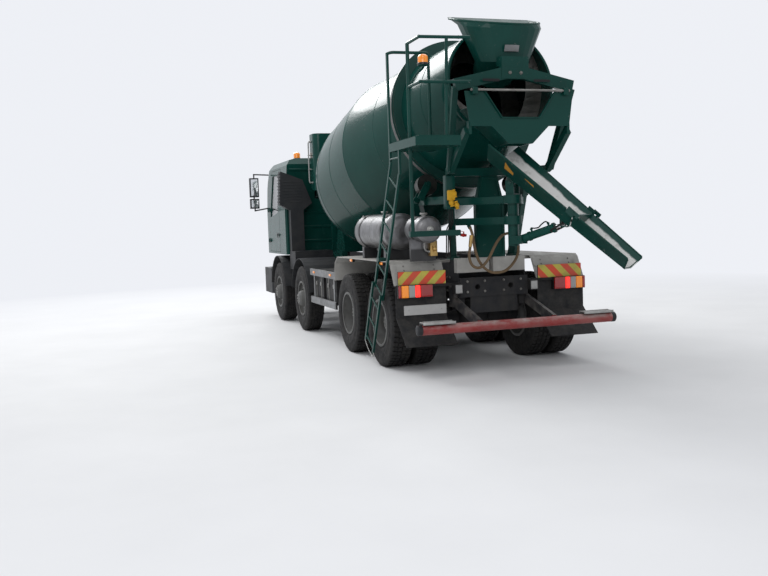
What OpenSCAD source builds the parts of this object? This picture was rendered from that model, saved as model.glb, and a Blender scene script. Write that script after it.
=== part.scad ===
/* [Wheels and axles] */
// Distance between the two rear axles
rear_spread = 1400; // [1350:10:1500]
// Distance between the second and the third axle
middle_gap = 2840; // [2700:10:3400]
// Distance between the two steered axles
front_spread = 1830; // [1750:10:2000]
// Radius of every tyre
tyre_r = 530; // [500:5:545]
// Width of one tyre
tyre_w = 285; // [260:5:290]
// Radius of the rim where the tyre's bead sits
bead_r = 286; // [280:1:290]
// Gap between the two tyres of a twin wheel
twin_gap = 45; // [40:1:60]
// Distance from the truck's middle to the outer face of the tyres
track_half = 1212; // [1190:1:1216]

/* [Chassis frame] */
// Outer width of the two rails
frame_w = 860; // [820:10:880]
// Height of a rail
rail_h = 300; // [260:10:320]
// Width of a rail's flange
rail_flange = 90; // [70:5:100]
// Thickness of a rail's plate
rail_t = 10; // [8:1:14]
// Height of the rails' top above the ground
rail_top_z = 1120; // [1100:10:1150]
// Height of the subframe on the rails
sub_h = 150; // [120:10:180]
// Rear end of the rails, from the last axle
rear_overhang = 650; // [600:10:700]
// Front end of the rails, from the first axle
front_overhang = 1090; // [1050:10:1120]

/* [Drum] */
// Largest radius of the drum
drum_r = 1100; // [1000:10:1130]
// Radius of the drum at its front plate
drum_front_r = 470; // [400:10:520]
// Radius of the drum's mouth
mouth_r = 620; // [580:5:640]
// Length of the drum along its axis
drum_len = 5540; // [5400:10:5700]
// Tilt of the drum's axis
drum_tilt = 11; // [10:0.5:12.5]
// Thickness of the drum's plate
drum_wall = 8; // [5:1:12]
// Height of a mixing blade
blade_h = 270; // [200:10:380]
// Radius of the roller track
track_ring_r = 935; // [925:5:950]
// Radius of a support roller
roller_r = 125; // [110:5:140]

/* [Cab] */
// Length of the cab
cab_len = 1870; // [1800:10:1950]
// Width of the cab
cab_w = 2300; // [2250:10:2350]
// Height of the roof above the ground
cab_top_z = 2930; // [2880:10:3000]
// Thickness of the cab's walls
cab_wall = 60; // [45:5:70]
// Thickness of a door
door_t = 30; // [25:1:35]

/* [Chute] */
// Angle of the chute to the right of straight back
chute_turn = 35; // [20:1:45]
// Slope of the chute
chute_slope = 40; // [36:1:42]
// Length of the main chute
chute_len = 1080; // [1000:10:1150]
// Length of the folding extension
extension_len = 740; // [600:10:760]
// Thickness of the chute's plate
chute_t = 6; // [4:1:8]

/* [Ladder and platform] */
// Height of the platform's deck
deck_z = 2600; // [2560:10:2640]
// Height of the handrail
handrail_z = 3600; // [3500:10:3700]
// Thickness of a ladder stile
stile_t = 24; // [20:1:26]
// Lean of the ladder from the vertical
ladder_lean = 28; // [26:0.5:30]
// Distance between two rungs along the ladder
rung_step = 280; // [260:10:300]

/* [Hidden] */
$fn = 48;

// Places along the truck are counted from the last axle, and place() moves them to the middle of the length
axle_x = [rear_spread + middle_gap + front_spread, rear_spread + middle_gap, rear_spread, 0];
rail_front_x = axle_x[0] + front_overhang;
bumper_front_x = rail_front_x + 300;
frame_half = frame_w / 2;
sub_top_z = rail_top_z + sub_h;
rail_low_z = rail_top_z - rail_h;
seat_gap = 0.3;
run_gap = 6;

// Drum's axis: from its front plate to its mouth
drum_front_x = 4415;
drum_front_z = 2193;
dome_len = 1190;
cone_start = 2740;
ring_deep = 120;
ring_s = cone_start + (drum_len - cone_start) * (drum_r - track_ring_r + ring_deep) / (drum_r - mouth_r);
ring_w = 90;
ring_x = drum_front_x - ring_s * cos(drum_tilt);
ring_z = drum_front_z + ring_s * sin(drum_tilt);
mouth_x = drum_front_x - drum_len * cos(drum_tilt);
mouth_z = drum_front_z + drum_len * sin(drum_tilt);

// Behind the mouth: the collecting trough's rear plate, the gable beam and the feed funnel
trough_x = mouth_x - 457;
trough_z = mouth_z - 720;
gable_x = trough_x + 130;
funnel_t = 8;

roller_spread = 33;
roller_w = 110;
roller_pin_r = 28;

// Chute: its swivel's axis, its tilt pin and its fold
swivel_x = -1250;
swivel_r = 60;
tilt_pin_z = 2120;
head_rim_z = 2450;
chute_deep = 200;
head_back = 130;
head_half = 330;
fold_half = 250;
lip_half = 190;
lip_reach = (chute_len + extension_len) * cos(chute_slope);
barrel_foot = [95, 1500];
rod_pin = [620, 1655];
fold_pin_z = 25;
fold_pin_r = 10;
collar_z = [1665, 1895];
collar_h = 95;
barrel_r = 45;
rod_r = 22;
chute_lip_x = swivel_x - lip_reach * cos(chute_turn) - lip_half * sin(chute_turn);
mid_x = (bumper_front_x + chute_lip_x) / 2;

// Bumper, and white boxes on the rear end of the rails
bumper_half = track_half - 12;
end_box_h = 170;

// Wheels: middle plane of a single tyre and king pin
kingpin_y = track_half - tyre_w - 45;
kingpin_r = 22;
spindle_r = 42;
diff_r = 215;
diff_nose = 240;
shaft_r = 55;

// Cab: panels and doors
cab_front_x = bumper_front_x - 60;
cab_rear_x = cab_front_x - cab_len;
cab_low_z = 1215;
cab_half = cab_w / 2;
door_front_x = cab_front_x - 400;
door_rear_x = cab_rear_x + 560;
door_low_z = cab_low_z + 45;
door_top_z = cab_top_z - 170;
hinge_r = 9;
hinge_y = cab_half + 2 * hinge_r + 3;
hinge_zs = [door_low_z + 180, door_low_z + 760];
pivot_x = rail_front_x - 60;
pivot_z = cab_low_z - 115;
pivot_r = 22;

// Upright water tank behind the cab, and the seats and dashboard in the cab
tank_low_z = drum_front_z + 137;
tank_tall = 980;
tank_half = 700;
tank_deep = 400;
tank_round = 110;
seat_low_z = cab_low_z + 115;
seat_top_z = seat_low_z + 310;
seat_y = [320, 860];
dash_x = cab_front_x - 460;

// Ladder: foot of its fixed flight, its width, and where it turns upright
ladder_foot_x = -120;
ladder_foot_z = 900;
ladder_w = 350;
stile_deep = 36;
rung_r = 11;
ladder_top = 1620;
ladder_bend_z = ladder_foot_z + ladder_top * cos(ladder_lean);
ladder_head_x = [-1050, -740];

// Hanging water hose: points of its middle line, and its radius
hose_r = 16;
hose_route = [[-760, 310, 1640], [-800, 318, 1625], [-850, 322, 1570], [-872, 318, 1480], [-880, 300, 1370],
    [-884, 262, 1262], [-888, 200, 1180], [-890, 120, 1130], [-890, 30, 1118], [-888, -70, 1140],
    [-884, -160, 1210], [-880, -225, 1310], [-878, -240, 1420], [-880, -205, 1510], [-884, -130, 1560],
    [-890, -40, 1545], [-897, 30, 1480], [-903, 90, 1390], [-910, 150, 1290], [-918, 225, 1210],
    [-926, 300, 1185], [-934, 372, 1225], [-940, 405, 1320], [-944, 392, 1430]];

module place() translate([-mid_x, 0, 0]) children();

module both_sides() {
    children();
    mirror([0, 1, 0]) children();
}

// side is 1 on the left and -1 on the right
module on_side(side) mirror([0, side < 0 ? 1 : 0, 0]) children();

module block(low, high) translate(low) cube(high - low);

module along(a, b) {
    v = b - a;
    translate(a) rotate([0, acos(v.z / norm(v)), atan2(v.y, v.x)]) children();
}

module rod(a, b, r) along(a, b) cylinder(h = norm(b - a), r = r);

// tall is the depth of a level beam and wide its width across
module beam(a, b, tall, wide) along(a, b) translate([-tall / 2, -wide / 2, 0])
    cube([tall, wide, norm(b - a)]);

module pipe(points, r) {
    for (i = [0:len(points) - 2])
        rod(points[i], points[i + 1], r);
    for (i = [1:len(points) - 2])
        translate(points[i]) sphere(r = r * 1.12, $fn = 24);
}

// Plate in the plane across the truck's width, from y0 to y1
module side_plate(y0, y1) translate([0, y1, 0]) rotate([90, 0, 0]) linear_extrude(y1 - y0) children();

// Tube along a route, one ring of points for each point of the route
function unit(v) = v / norm(v);
function route_dir(p, i) = unit(p[min(i + 1, len(p) - 1)] - p[max(i - 1, 0)]);
function ring_of(p, i, r, n) =
    let (d = route_dir(p, i), u = unit(cross(d, [1, 0.2, 0.1])), w = cross(d, u))
    [for (k = [0:n - 1]) p[i] + r * (cos(360 * k / n) * u + sin(360 * k / n) * w)];
module route_tube(p, r, n) {
    points = [for (i = [0:len(p) - 1]) each ring_of(p, i, r, n)];
    skin = [for (i = [0:len(p) - 2], k = [0:n - 1])
        [i * n + k, i * n + (k + 1) % n, (i + 1) * n + (k + 1) % n, (i + 1) * n + k]];
    first = [[for (k = [0:n - 1]) n - 1 - k]];
    last = [[for (k = [0:n - 1]) (len(p) - 1) * n + k]];
    polyhedron(points, concat(skin, first, last));
}

// Chassis

module c_rail(x0, x1, top, tall) {
    difference() {
        block([x0, frame_half - rail_flange, top - tall], [x1, frame_half, top]);
        block([x0 - 1, frame_half - rail_flange - 1, top - tall + rail_t],
            [x1 + 1, frame_half - rail_t, top - rail_t]);
    }
}

module chassis_frame() {
    cross_x = [-300, 700, 2000, 2900, 3700, 4450, 6900];
    color("dimgray") place() {
        both_sides() {
            c_rail(-rear_overhang, rail_front_x, rail_top_z, rail_h);
            block([-rear_overhang + 100, frame_half - rail_flange, rail_top_z],
                [axle_x[1] - 300, frame_half, sub_top_z]);
        }
        for (x = cross_x)
            block([x - 40, -frame_half + rail_t, rail_top_z - 130],
                [x + 40, frame_half - rail_t, rail_top_z - 20]);
        difference() {
            block([-rear_overhang - 60, -frame_half, rail_low_z + 20],
                [-rear_overhang, frame_half, rail_top_z - 60]);
            for (s = [-1, 1])
                translate([-rear_overhang - 61, s * 211, rail_top_z - 168]) rotate([0, 90, 0])
                    cylinder(h = 62, r = 32);
        }
        block([-rear_overhang - 45, -300, rail_low_z - 170], [-rear_overhang - 35, 300, rail_low_z + 20]);
        both_sides() rod([pivot_x, frame_half - 135, pivot_z],
            [pivot_x, frame_half - rail_t / 2, pivot_z], pivot_r);
    }
}

module front_bumper() {
    lamp_y = [bumper_half - 380, bumper_half - 140];
    lamp_z = [620, 780];
    color("dimgray") place() {
        difference() {
            translate([0, 0, 450]) linear_extrude(480)
                offset(r = 90) offset(delta = -90)
                    polygon([[rail_front_x - 420, -bumper_half], [rail_front_x - 420, bumper_half],
                        [bumper_front_x + 200, bumper_half], [bumper_front_x + 200, -bumper_half]]);
            translate([0, 0, 400]) linear_extrude(600)
                offset(r = 60) offset(delta = -60)
                    polygon([[rail_front_x - 700, 60 - bumper_half], [rail_front_x - 700, bumper_half - 60],
                        [bumper_front_x - 60, bumper_half - 60], [bumper_front_x - 60, 60 - bumper_half]]);
            block([bumper_front_x, -bumper_half - 100, 400], [bumper_front_x + 300, bumper_half + 100,
                1000]);
            both_sides() block([bumper_front_x - 61, lamp_y[0] - seat_gap, lamp_z[0] - seat_gap],
                [bumper_front_x + 1, lamp_y[1] + seat_gap, lamp_z[1] + seat_gap]);
            block([bumper_front_x - 70, -120, 440], [bumper_front_x + 10, 120, 760]);
        }
        both_sides() {
            block([rail_front_x + seat_gap, frame_half - rail_flange, 700],
                [bumper_front_x - 60, frame_half, 900]);
            block([bumper_front_x - 45, lamp_y[0], lamp_z[0]], [bumper_front_x - 8, lamp_y[1], lamp_z[1]]);
            for (z = [520, 800])
                block([rail_front_x - 400, bumper_half - 200, z],
                    [rail_front_x - 60, bumper_half - 50, z + 30]);
        }
        difference() {
            block([bumper_front_x - 150, -90, 620], [bumper_front_x - 2, 90, 740]);
            block([bumper_front_x - 110, -91, 655], [bumper_front_x, 91, 705]);
            translate([bumper_front_x - 45, 0, 600]) cylinder(h = 200, r = 20);
        }
        block([bumper_front_x - 160, -frame_half, 640], [bumper_front_x - 140, frame_half, 760]);
    }
}

module shaft(a, b, r) {
    v = b - a;
    trim = (seat_gap + r * abs(v.z) / norm(v)) * unit(v);
    rod(a + trim, b - trim, r);
}

module driveline() {
    block_rear = axle_x[0] - 650;
    gearbox_len = 900;
    gearbox_end = block_rear - gearbox_len;
    shaft_z = tyre_r + 60;
    color("gray") place() {
        block([block_rear, -320, 850], [block_rear + 1100, 320, 1190]);
        translate([block_rear + 1, 0, 930]) rotate([0, -90, 0])
            cylinder(h = gearbox_len + 1, r1 = 230, r2 = 150);
        shaft([gearbox_end, 0, 930], [axle_x[2] + diff_nose, 0, shaft_z], shaft_r);
        shaft([axle_x[2] - diff_nose, 0, shaft_z], [diff_nose, 0, shaft_z], shaft_r);
    }
}

module leaf_pack(x, z_mid, half_len, leaves) {
    for (k = [0:leaves - 1]) {
        reach = half_len * (1 - 0.24 * k);
        side_plate(frame_half - 85, frame_half - 5)
            polygon([[x - reach, z_mid + 70 * pow(reach / half_len, 2) - 18 * k], [x, z_mid - 18 * k],
                [x + reach, z_mid + 70 * pow(reach / half_len, 2) - 18 * k],
                [x + reach, z_mid + 70 * pow(reach / half_len, 2) - 18 * k + 18], [x, z_mid - 18 * k + 18],
                [x - reach, z_mid + 70 * pow(reach / half_len, 2) - 18 * k + 18]]);
    }
}

module front_axles() {
    beam_z = tyre_r - 60;
    color("dimgray") place() for (i = [0, 1])
        difference() {
            union() {
                both_sides() {
                    beam([axle_x[i], 0, beam_z - 40], [axle_x[i], kingpin_y - 200, beam_z - 40], 100, 90);
                    beam([axle_x[i], kingpin_y - 210, beam_z - 36],
                        [axle_x[i], kingpin_y - 30, tyre_r - 4], 70, 80);
                    translate([axle_x[i], kingpin_y, tyre_r - 50]) cylinder(h = 100, r = 48);
                    leaf_pack(axle_x[i], beam_z + 46, 760, 3);
                    block([axle_x[i] - 60, frame_half - 90, beam_z + 5],
                        [axle_x[i] + 60, frame_half, beam_z + 30]);
                    for (s = [-1, 1])
                        block([axle_x[i] + s * 740 - 40, frame_half - 80, beam_z + 115],
                            [axle_x[i] + s * 740 + 40, frame_half - 10, rail_low_z - seat_gap]);
                }
            }
            both_sides() translate([axle_x[i], kingpin_y, 0]) cylinder(h = 1000, r = kingpin_r + seat_gap);
        }
}

module rear_axles() {
    color("dimgray") place() for (i = [2, 3]) {
        translate([axle_x[i], 0, tyre_r]) rotate([90, 0, 0])
            cylinder(h = 2 * (track_half - 2 * tyre_w - twin_gap) - 2 * run_gap, r = 85, center = true);
        translate([axle_x[i], 0, tyre_r]) rotate([90, 0, 0]) cylinder(h = 2 * (track_half - 170),
            r = spindle_r, center = true);
        translate([axle_x[i], 0, tyre_r]) sphere(r = diff_r);
        rod([axle_x[i] - (i == 2 ? diff_nose : 0), 0, tyre_r + 60],
            [axle_x[i] + diff_nose, 0, tyre_r + 60], 70);
        both_sides() {
            leaf_pack(axle_x[i], tyre_r + 120, 620, 3);
            block([axle_x[i] - 70, frame_half - 95, tyre_r + 60],
                [axle_x[i] + 70, frame_half + 5, tyre_r + 110]);
            for (s = [-1, 1])
                block([axle_x[i] + s * 600 - 40, frame_half - 80, tyre_r + 190],
                    [axle_x[i] + s * 600 + 40, frame_half - 10, rail_low_z - seat_gap]);
        }
    }
}

// Arch of sheet over a wheel: a ring sector from angle a0 to a1, counted from straight ahead
module arch(x, r, a0, a1, t) {
    n = 14;
    side_plate(0, 1)
        polygon(concat([for (k = [0:n]) let (a = a0 + (a1 - a0) * k / n) [x + r * cos(a),
            tyre_r + r * sin(a)]],
            [for (k = [n:-1:0]) let (a = a0 + (a1 - a0) * k / n) [x + (r + t) * cos(a),
                tyre_r + (r + t) * sin(a)]]));
}

module cab_fenders() {
    arch_r = 652;
    color("dimgray") place() both_sides() for (i = [0, 1]) {
        translate([0, frame_half + 200, 0]) scale([1, track_half - frame_half - 190, 1])
            arch(axle_x[i], arch_r, 12, 168, 8);
        for (s = [-1, 1])
            rod([axle_x[i] + s * 300, frame_half + seat_gap,
                tyre_r + sqrt(arch_r * arch_r - 300 * 300) - 8],
                [axle_x[i] + s * 300, frame_half + 210, tyre_r + sqrt(arch_r * arch_r - 300 * 300) - 8],
                    16);
    }
    color("dimgray") place() {
        block([cab_rear_x - 480, frame_half + seat_gap, 960], [cab_rear_x - 30, 1100, 1280]);
        translate([cab_rear_x - 200, 0, 0]) rotate([90, 0, 90]) linear_extrude(170)
            polygon([[860, 1270], [1095, 1270], [1095, 2000], [1280, 2100], [1250, 2680], [860, 2530],
                [700, 2120], [860, 2000]]);
    }
}

module rear_mudguards() {
    top_z = sub_top_z + 10;
    inner_y = track_half - 2 * tyre_w - twin_gap - 20;
    color("whitesmoke") place() both_sides() {
        side_plate(inner_y, track_half)
            polygon([[-650, 1010], [-520, top_z - 30], [-470, top_z], [axle_x[2] + 420, top_z],
                [axle_x[2] + 560, top_z - 90], [axle_x[2] + 620, 940],
                [axle_x[2] + 614, 940], [axle_x[2] + 552, top_z - 94], [axle_x[2] + 416, top_z - 8],
                    [-466, top_z - 8], [-512, top_z - 36], [-642, 1010]]);
        for (x = [-400, 700, axle_x[2] + 380])
            rod([x, frame_half + seat_gap, top_z - 24], [x, inner_y + 60, top_z - 24], 18);
        block([-rear_overhang + 10, 25, rail_top_z + seat_gap],
            [-rear_overhang + 100 - seat_gap, frame_half + 3, rail_top_z + end_box_h]);
    }
}

module mudflaps() {
    color("gray") place() both_sides()
        side_plate(track_half - 2 * tyre_w - twin_gap - 10, track_half - 12)
            polygon([[-655, 1008], [-655, 645], [-985, 350], [-978, 343], [-645, 640], [-645, 1008]]);
}

module side_guards() {
    x0 = axle_x[2] + 650;
    x1 = axle_x[1] - 690;
    color("silver") place() both_sides() {
        for (z = [570, 1000])
            block([x0, track_half - 40, z - 50], [x1, track_half - 12, z + 50]);
        for (x = [x0 + 150, x1 - 150])
            block([x - 30, track_half - 72, 530], [x + 30, track_half - 39, 1040]);
    }
}

module tanks_boxes() {
    out_y = track_half - 72 - seat_gap;
    color("dimgray") place() both_sides() {
        translate([axle_x[2] + 760, 0, 0]) side_plate(frame_half + seat_gap, out_y)
            offset(r = 60) offset(delta = -60) polygon([[0, 560], [620, 560], [620, 1060], [0, 1060]]);
        block([axle_x[1] - 1300, frame_half + seat_gap, 600], [axle_x[1] - 760, out_y, 1040]);
    }
}

module underrun_bar() {
    arm_y = frame_half + 22;
    color("firebrick") place() {
        rod([-1340, 17 - track_half, 573], [-1340, track_half - 17, 573], 55);
        both_sides() {
            beam([-1310, arm_y, 585], [-rear_overhang + 100, arm_y, 800], 110, 40);
            block([-rear_overhang + 20, frame_half + seat_gap, 720],
                [-rear_overhang + 190, arm_y + 20, 1000]);
            block([-1400, track_half - 432, 640], [-1290, track_half - 62, 650]);
            for (y = [track_half - 392, track_half - 102])
                block([-1350, y - 5, 615], [-1330, y + 5, 645]);
        }
    }
}

module rear_lights() {
    face_x = -655 - seat_gap;
    color("orangered") place() both_sides() {
        block([-700, frame_half + seat_gap, 985], [face_x, track_half - 22, 1015]);
        block([face_x - 12, 590, 1010], [face_x, track_half - 42, 1168]);
        block([-720, track_half - 442, 870], [face_x, track_half - 22, 1018]);
        block([-785, frame_half + seat_gap, 890], [-690, 525, 1000]);
    }
    color("whitesmoke") place() block([face_x - 10, 590, 668], [face_x, 1110, 780]);
}

module wheel_at(i, side) place() on_side(side) translate([axle_x[i], 0, tyre_r]) rotate([-90, 0, 0])
    children();

// Tyre as a revolved section: bead, side wall with its bulge, shoulder and tread
module tyre_body(y0) {
    t = tyre_w;
    rotate_extrude($fn = 72) polygon([[bead_r + seat_gap, y0 + 25], [bead_r + 40, y0 + 12],
        [bead_r + 95, y0], [bead_r + 150, y0 + 2],
        [tyre_r - 45, y0 + 12], [tyre_r - 14, y0 + 24], [tyre_r, y0 + 45], [tyre_r, y0 + t - 45],
            [tyre_r - 14, y0 + t - 24],
        [tyre_r - 45, y0 + t - 12], [bead_r + 150, y0 + t - 2], [bead_r + 95, y0 + t],
            [bead_r + 40, y0 + t - 12], [bead_r + seat_gap, y0 + t - 25],
        [bead_r + seat_gap, y0 + t - 50], [bead_r + 20, y0 + t - 70], [bead_r + 20, y0 + 70],
            [bead_r + seat_gap, y0 + 50]]);
}

// Rim's outer barrel under the tyre's beads
module bead_barrel(y0) {
    t = tyre_w;
    rotate_extrude($fn = 72) polygon([[bead_r - 30, y0 + 14], [bead_r - 14, y0 + 20],
        [bead_r - 14, y0 + t - 20], [bead_r - 30, y0 + t - 14],
        [bead_r, y0 + t - 14], [bead_r, y0 + 14]]);
}

module front_wheel(i, side) {
    y0 = track_half - tyre_w;
    color("silver") wheel_at(i, side) {
        bead_barrel(y0);
        difference() {
            rotate_extrude($fn = 72) polygon([[spindle_r + seat_gap, y0 + 30], [130, y0 + 30],
                [130, y0 + 150], [200, y0 + 190], [bead_r - 8, y0 + 215],
                [bead_r - 8, y0 + 227], [196, y0 + 204], [150, y0 + 190], [120, y0 + tyre_w + 10],
                    [90, y0 + tyre_w + 40], [0, y0 + tyre_w + 40],
                [0, y0 + tyre_w], [spindle_r + seat_gap, y0 + tyre_w]]);
            for (a = [0:36:359])
                rotate([0, 0, a]) translate([215, 0, y0 + 170]) cylinder(h = 80, r = 26);
        }
    }
}

module rear_wheel(i, side) {
    y0 = track_half - 2 * tyre_w - twin_gap;
    y1 = track_half - tyre_w;
    color("silver") wheel_at(i, side) {
        bead_barrel(y0);
        bead_barrel(y1);
        difference() {
            rotate_extrude($fn = 72) polygon([[spindle_r + seat_gap, y0 + 20], [140, y0 + 20],
                [170, y0 + 60], [170, y1 - 24], [200, y1 - 24], [bead_r - 8, y1 - 60],
                [bead_r - 8, y1 + 60], [200, y1 - 2], [150, y1 - 2], [130, y1 + 150], [90, y1 + 185],
                    [0, y1 + 185], [0, y1 + 160],
                [spindle_r + seat_gap, y1 + 160]]);
            for (a = [0:36:359])
                rotate([0, 0, a]) translate([222, 0, y1 - 100]) cylinder(h = 200, r = 24);
        }
    }
}

module knuckle(i, side) {
    y0 = track_half - tyre_w;
    color("dimgray") place() on_side(side) {
        translate([axle_x[i], kingpin_y, 0]) {
            translate([0, 0, tyre_r - 85]) cylinder(h = 170, r = kingpin_r);
            for (z = [tyre_r - 86, tyre_r + 56])
                translate([0, 0, z]) cylinder(h = 30, r = 48);
        }
        difference() {
            block([axle_x[i] - 50, kingpin_y, tyre_r - 86], [axle_x[i] + 50, y0 + 14, tyre_r + 86]);
            translate([axle_x[i], kingpin_y, tyre_r - 56]) cylinder(h = 112, r = 54);
        }
        translate([axle_x[i], y0 + 10, tyre_r]) rotate([-90, 0, 0]) cylinder(h = 190, r = spindle_r);
    }
}

// Drum

module on_drum_axis() place() translate([drum_front_x, 0, drum_front_z]) rotate([0, drum_tilt - 90, 0])
    children();

// Radius of the drum at the distance s from its front plate
function drum_radius(s) = s < dome_len
    ? drum_front_r + (drum_r - drum_front_r) * sin(90 * s / dome_len)
    : s < cone_start ? drum_r : drum_r - (drum_r - mouth_r) * (s - cone_start) / (drum_len - cone_start);

module drum_shell() {
    stations = concat([for (k = [0:9]) dome_len * k / 9], [cone_start, drum_len]);
    color("darkgreen") on_drum_axis() {
        difference() {
            rotate_extrude($fn = 96) polygon(concat([[0, 0]], [for (s = stations) [drum_radius(s), s]],
                [[0, drum_len]]));
            rotate_extrude($fn = 96) polygon(concat([[0, drum_wall]],
                [for (s = stations) if (s > 0) [drum_radius(s) - drum_wall, s]],
                [[drum_radius(drum_len) - drum_wall, drum_len + 1], [0, drum_len + 1]]));
        }
        translate([0, 0, -60]) cylinder(h = 61, r = 210);
    }
}

// Roller track round the drum's cone, with a deeper web under its tread
module track_ring() {
    low = ring_s - ring_w / 2;
    high = ring_s + ring_w / 2;
    color("silver") on_drum_axis() rotate_extrude($fn = 96)
        polygon([[drum_radius(low) + seat_gap, low], [track_ring_r - 22, low],
            [track_ring_r - 22, low + 12], [track_ring_r, low + 12], [track_ring_r, high - 12],
            [track_ring_r - 22, high - 12], [track_ring_r - 22, high],
                [drum_radius(high) + seat_gap, high]]);
}

// Mixing blades: two spiral plates that follow the drum's inner wall
module blade(start) {
    n = 96;
    turns = 2.4;
    s0 = 1200;
    s1 = drum_len - 60;
    t = 8;
    points = [for (k = [0:n]) let (f = k / n, s = s0 + (s1 - s0) * f, a = start + 360 * turns * f,
        r1 = drum_radius(s) - drum_wall - 0.6, r2 = drum_radius(s + t) - drum_wall - 0.6,
            r0 = r1 - min(blade_h, 0.31 * r1))
        each [[r0 * cos(a), r0 * sin(a), s], [r1 * cos(a), r1 * sin(a), s],
            [r2 * cos(a), r2 * sin(a), s + t], [r0 * cos(a), r0 * sin(a), s + t]]];
    skin = [for (k = [0:n - 1], j = [0:3]) [4 * k + j, 4 * k + (j + 1) % 4, 4 * (k + 1) + (j + 1) % 4,
        4 * (k + 1) + j]];
    polyhedron(points, concat(skin, [[3, 2, 1, 0]], [[4 * n, 4 * n + 1, 4 * n + 2, 4 * n + 3]]));
}

module drum_blades() {
    color("gray") on_drum_axis() {
        blade(0);
        blade(180);
    }
}

module at_roller(side) on_drum_axis() rotate([0, 0, side * (180 - roller_spread)])
    translate([track_ring_r + seat_gap + roller_r, 0, ring_s]) children();

module roller(side) {
    color("silver") at_roller(side) difference() {
        cylinder(h = roller_w, r = roller_r, center = true);
        cylinder(h = roller_w + 2, r = roller_pin_r + seat_gap, center = true);
    }
}

module front_pedestal() {
    plate_x = drum_front_x + 60;
    color("darkgreen") place() {
        difference() {
            side_plate(-380, 380)
                polygon([[plate_x - 60, sub_top_z], [plate_x + 520, sub_top_z], [plate_x + 330, 1700],
                    [plate_x + 250, drum_front_z - 300], [plate_x + 90, drum_front_z - 300]]);
            side_plate(-300, 300)
                polygon([[plate_x + 60, sub_top_z - 1], [plate_x + 420, sub_top_z - 1],
                    [plate_x + 270, 1640], [plate_x + 120, 1640]]);
        }
        both_sides() block([plate_x - 60, frame_half - rail_flange, rail_top_z + seat_gap],
            [plate_x + 520, frame_half, sub_top_z]);
    }
    color("gray") on_drum_axis() {
        translate([0, 0, -120]) cylinder(h = 60 - seat_gap, r = 180);
        translate([0, 0, -420]) cylinder(h = 301, r = 240);
        translate([-420, -120, -330]) cube([220, 240, 200]);
    }
}

module water_tank() {
    tank_x = cab_rear_x - 490;
    leg_x = tank_x + 200;
    color("darkgreen") place() {
        translate([tank_x, 0, tank_low_z])
            linear_extrude(tank_tall) offset(r = tank_round) offset(delta = -tank_round)
                translate([0, -tank_half])
                square([tank_deep, 2 * tank_half]);
        both_sides() beam([leg_x, tank_half / 2, rail_top_z + seat_gap],
            [leg_x, tank_half / 2, tank_low_z + 2], 70, 70);
    }
}

module rear_pedestal() {
    foot_x = [-420, 330];
    shelf_y = 620;
    brace_y = 600;
    shelf_z = 1970;
    hose_start = route_dir(hose_route, 0);
    color("darkgreen") place() {
        both_sides() {
            for (x = foot_x)
                block([x - 90, frame_half - rail_flange, sub_top_z + seat_gap],
                    [x + 90, frame_half, sub_top_z + 40]);
            beam([foot_x[0], frame_half - 45, sub_top_z + 25], [-620, 480, 2300], 100, 80);
            beam([foot_x[1], frame_half - 45, sub_top_z + 25], [120, shelf_y, shelf_z], 100, 80);
            beam([-560, 470, shelf_z], [260, shelf_y, shelf_z], 90, 80);
            beam([-950, brace_y, 2290], [trough_x + 60, brace_y, trough_z + 150], 80, 60);
            block([trough_x + 10 + seat_gap, brace_y - 35, trough_z + 105],
                [trough_x + 75, brace_y - 2, trough_z + 245]);
            beam([-620, 500, 2290], [-960, brace_y, 2290], 80, 70);
            beam([gable_x, 700, trough_z + 630], [gable_x, 0, trough_z + 790], 130, 60);
            beam([-950, brace_y + 20, 2290], [gable_x + 10, 690, trough_z + 610], 80, 60);
        }
        rod(hose_route[0] - 70 * hose_start, hose_route[0] - seat_gap * hose_start, hose_r + 5);
        beam([-1240, track_half + 3, 1600], [-1240, 640, 1600], 60, 50);
        beam([-1250, 655, 1600], [-480, 420, 1600], 50, 50);
        beam([-620, -480, 2280], [-620, 480, 2280], 90, 90);
        block([gable_x - 36, -160, trough_z + 702], [gable_x + 36, 160, trough_z + 940]);
        beam([-75, -shelf_y, shelf_z], [-75, shelf_y, shelf_z], 90, 90);
        difference() {
            union() {
                for (z = collar_z)
                    translate([swivel_x, 0, z]) cylinder(h = collar_h, r = swivel_r + 40);
                both_sides() {
                    beam([-470, 420, collar_z[0] + 45], [-1190, 60, collar_z[0] + 45], 80, 60);
                    beam([-560, 450, collar_z[1] + 45], [-1190, 60, collar_z[1] + 45], 80, 60);
                }
            }
            translate([swivel_x, 0, 1400]) cylinder(h = 800, r = swivel_r + seat_gap);
        }
    }
    for (side = [-1, 1])
        color("dimgray") at_roller(side) {
            cylinder(h = roller_w + 100, r = roller_pin_r, center = true);
            for (s = [-1, 1])
                translate([-10, -40, s * (roller_w / 2 + 22) - 12]) cube([230, 80, 24]);
        }
}

// Feed funnel by sections from its slanted rim to its spout, counted from the drum's mouth:
// rear x and z, front x and z, half width
FUNNEL = [[-287, 590, 303, 760, 490], [-277, 530, 88, 635, 460], [-227, 180, 23, 230, 290],
    [143, -40, 263, 150, 220]];

// A section is a thin sheet with a round back and straight sides up to its flat front
module funnel_section(f, grow) {
    deep = norm([f[2] - f[0], f[3] - f[1]]);
    bow = min(f[4], 0.62 * deep);
    translate([mouth_x + f[0], 0, mouth_z + f[1]]) rotate([0, -atan2(f[3] - f[1], f[2] - f[0]), 0])
        linear_extrude(1)
        offset(delta = grow) polygon(concat([for (a = [-90:15:90]) [bow * (1 - cos(a)), f[4] * sin(a)]],
            [[deep, f[4]], [deep, -f[4]]]));
}

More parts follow.
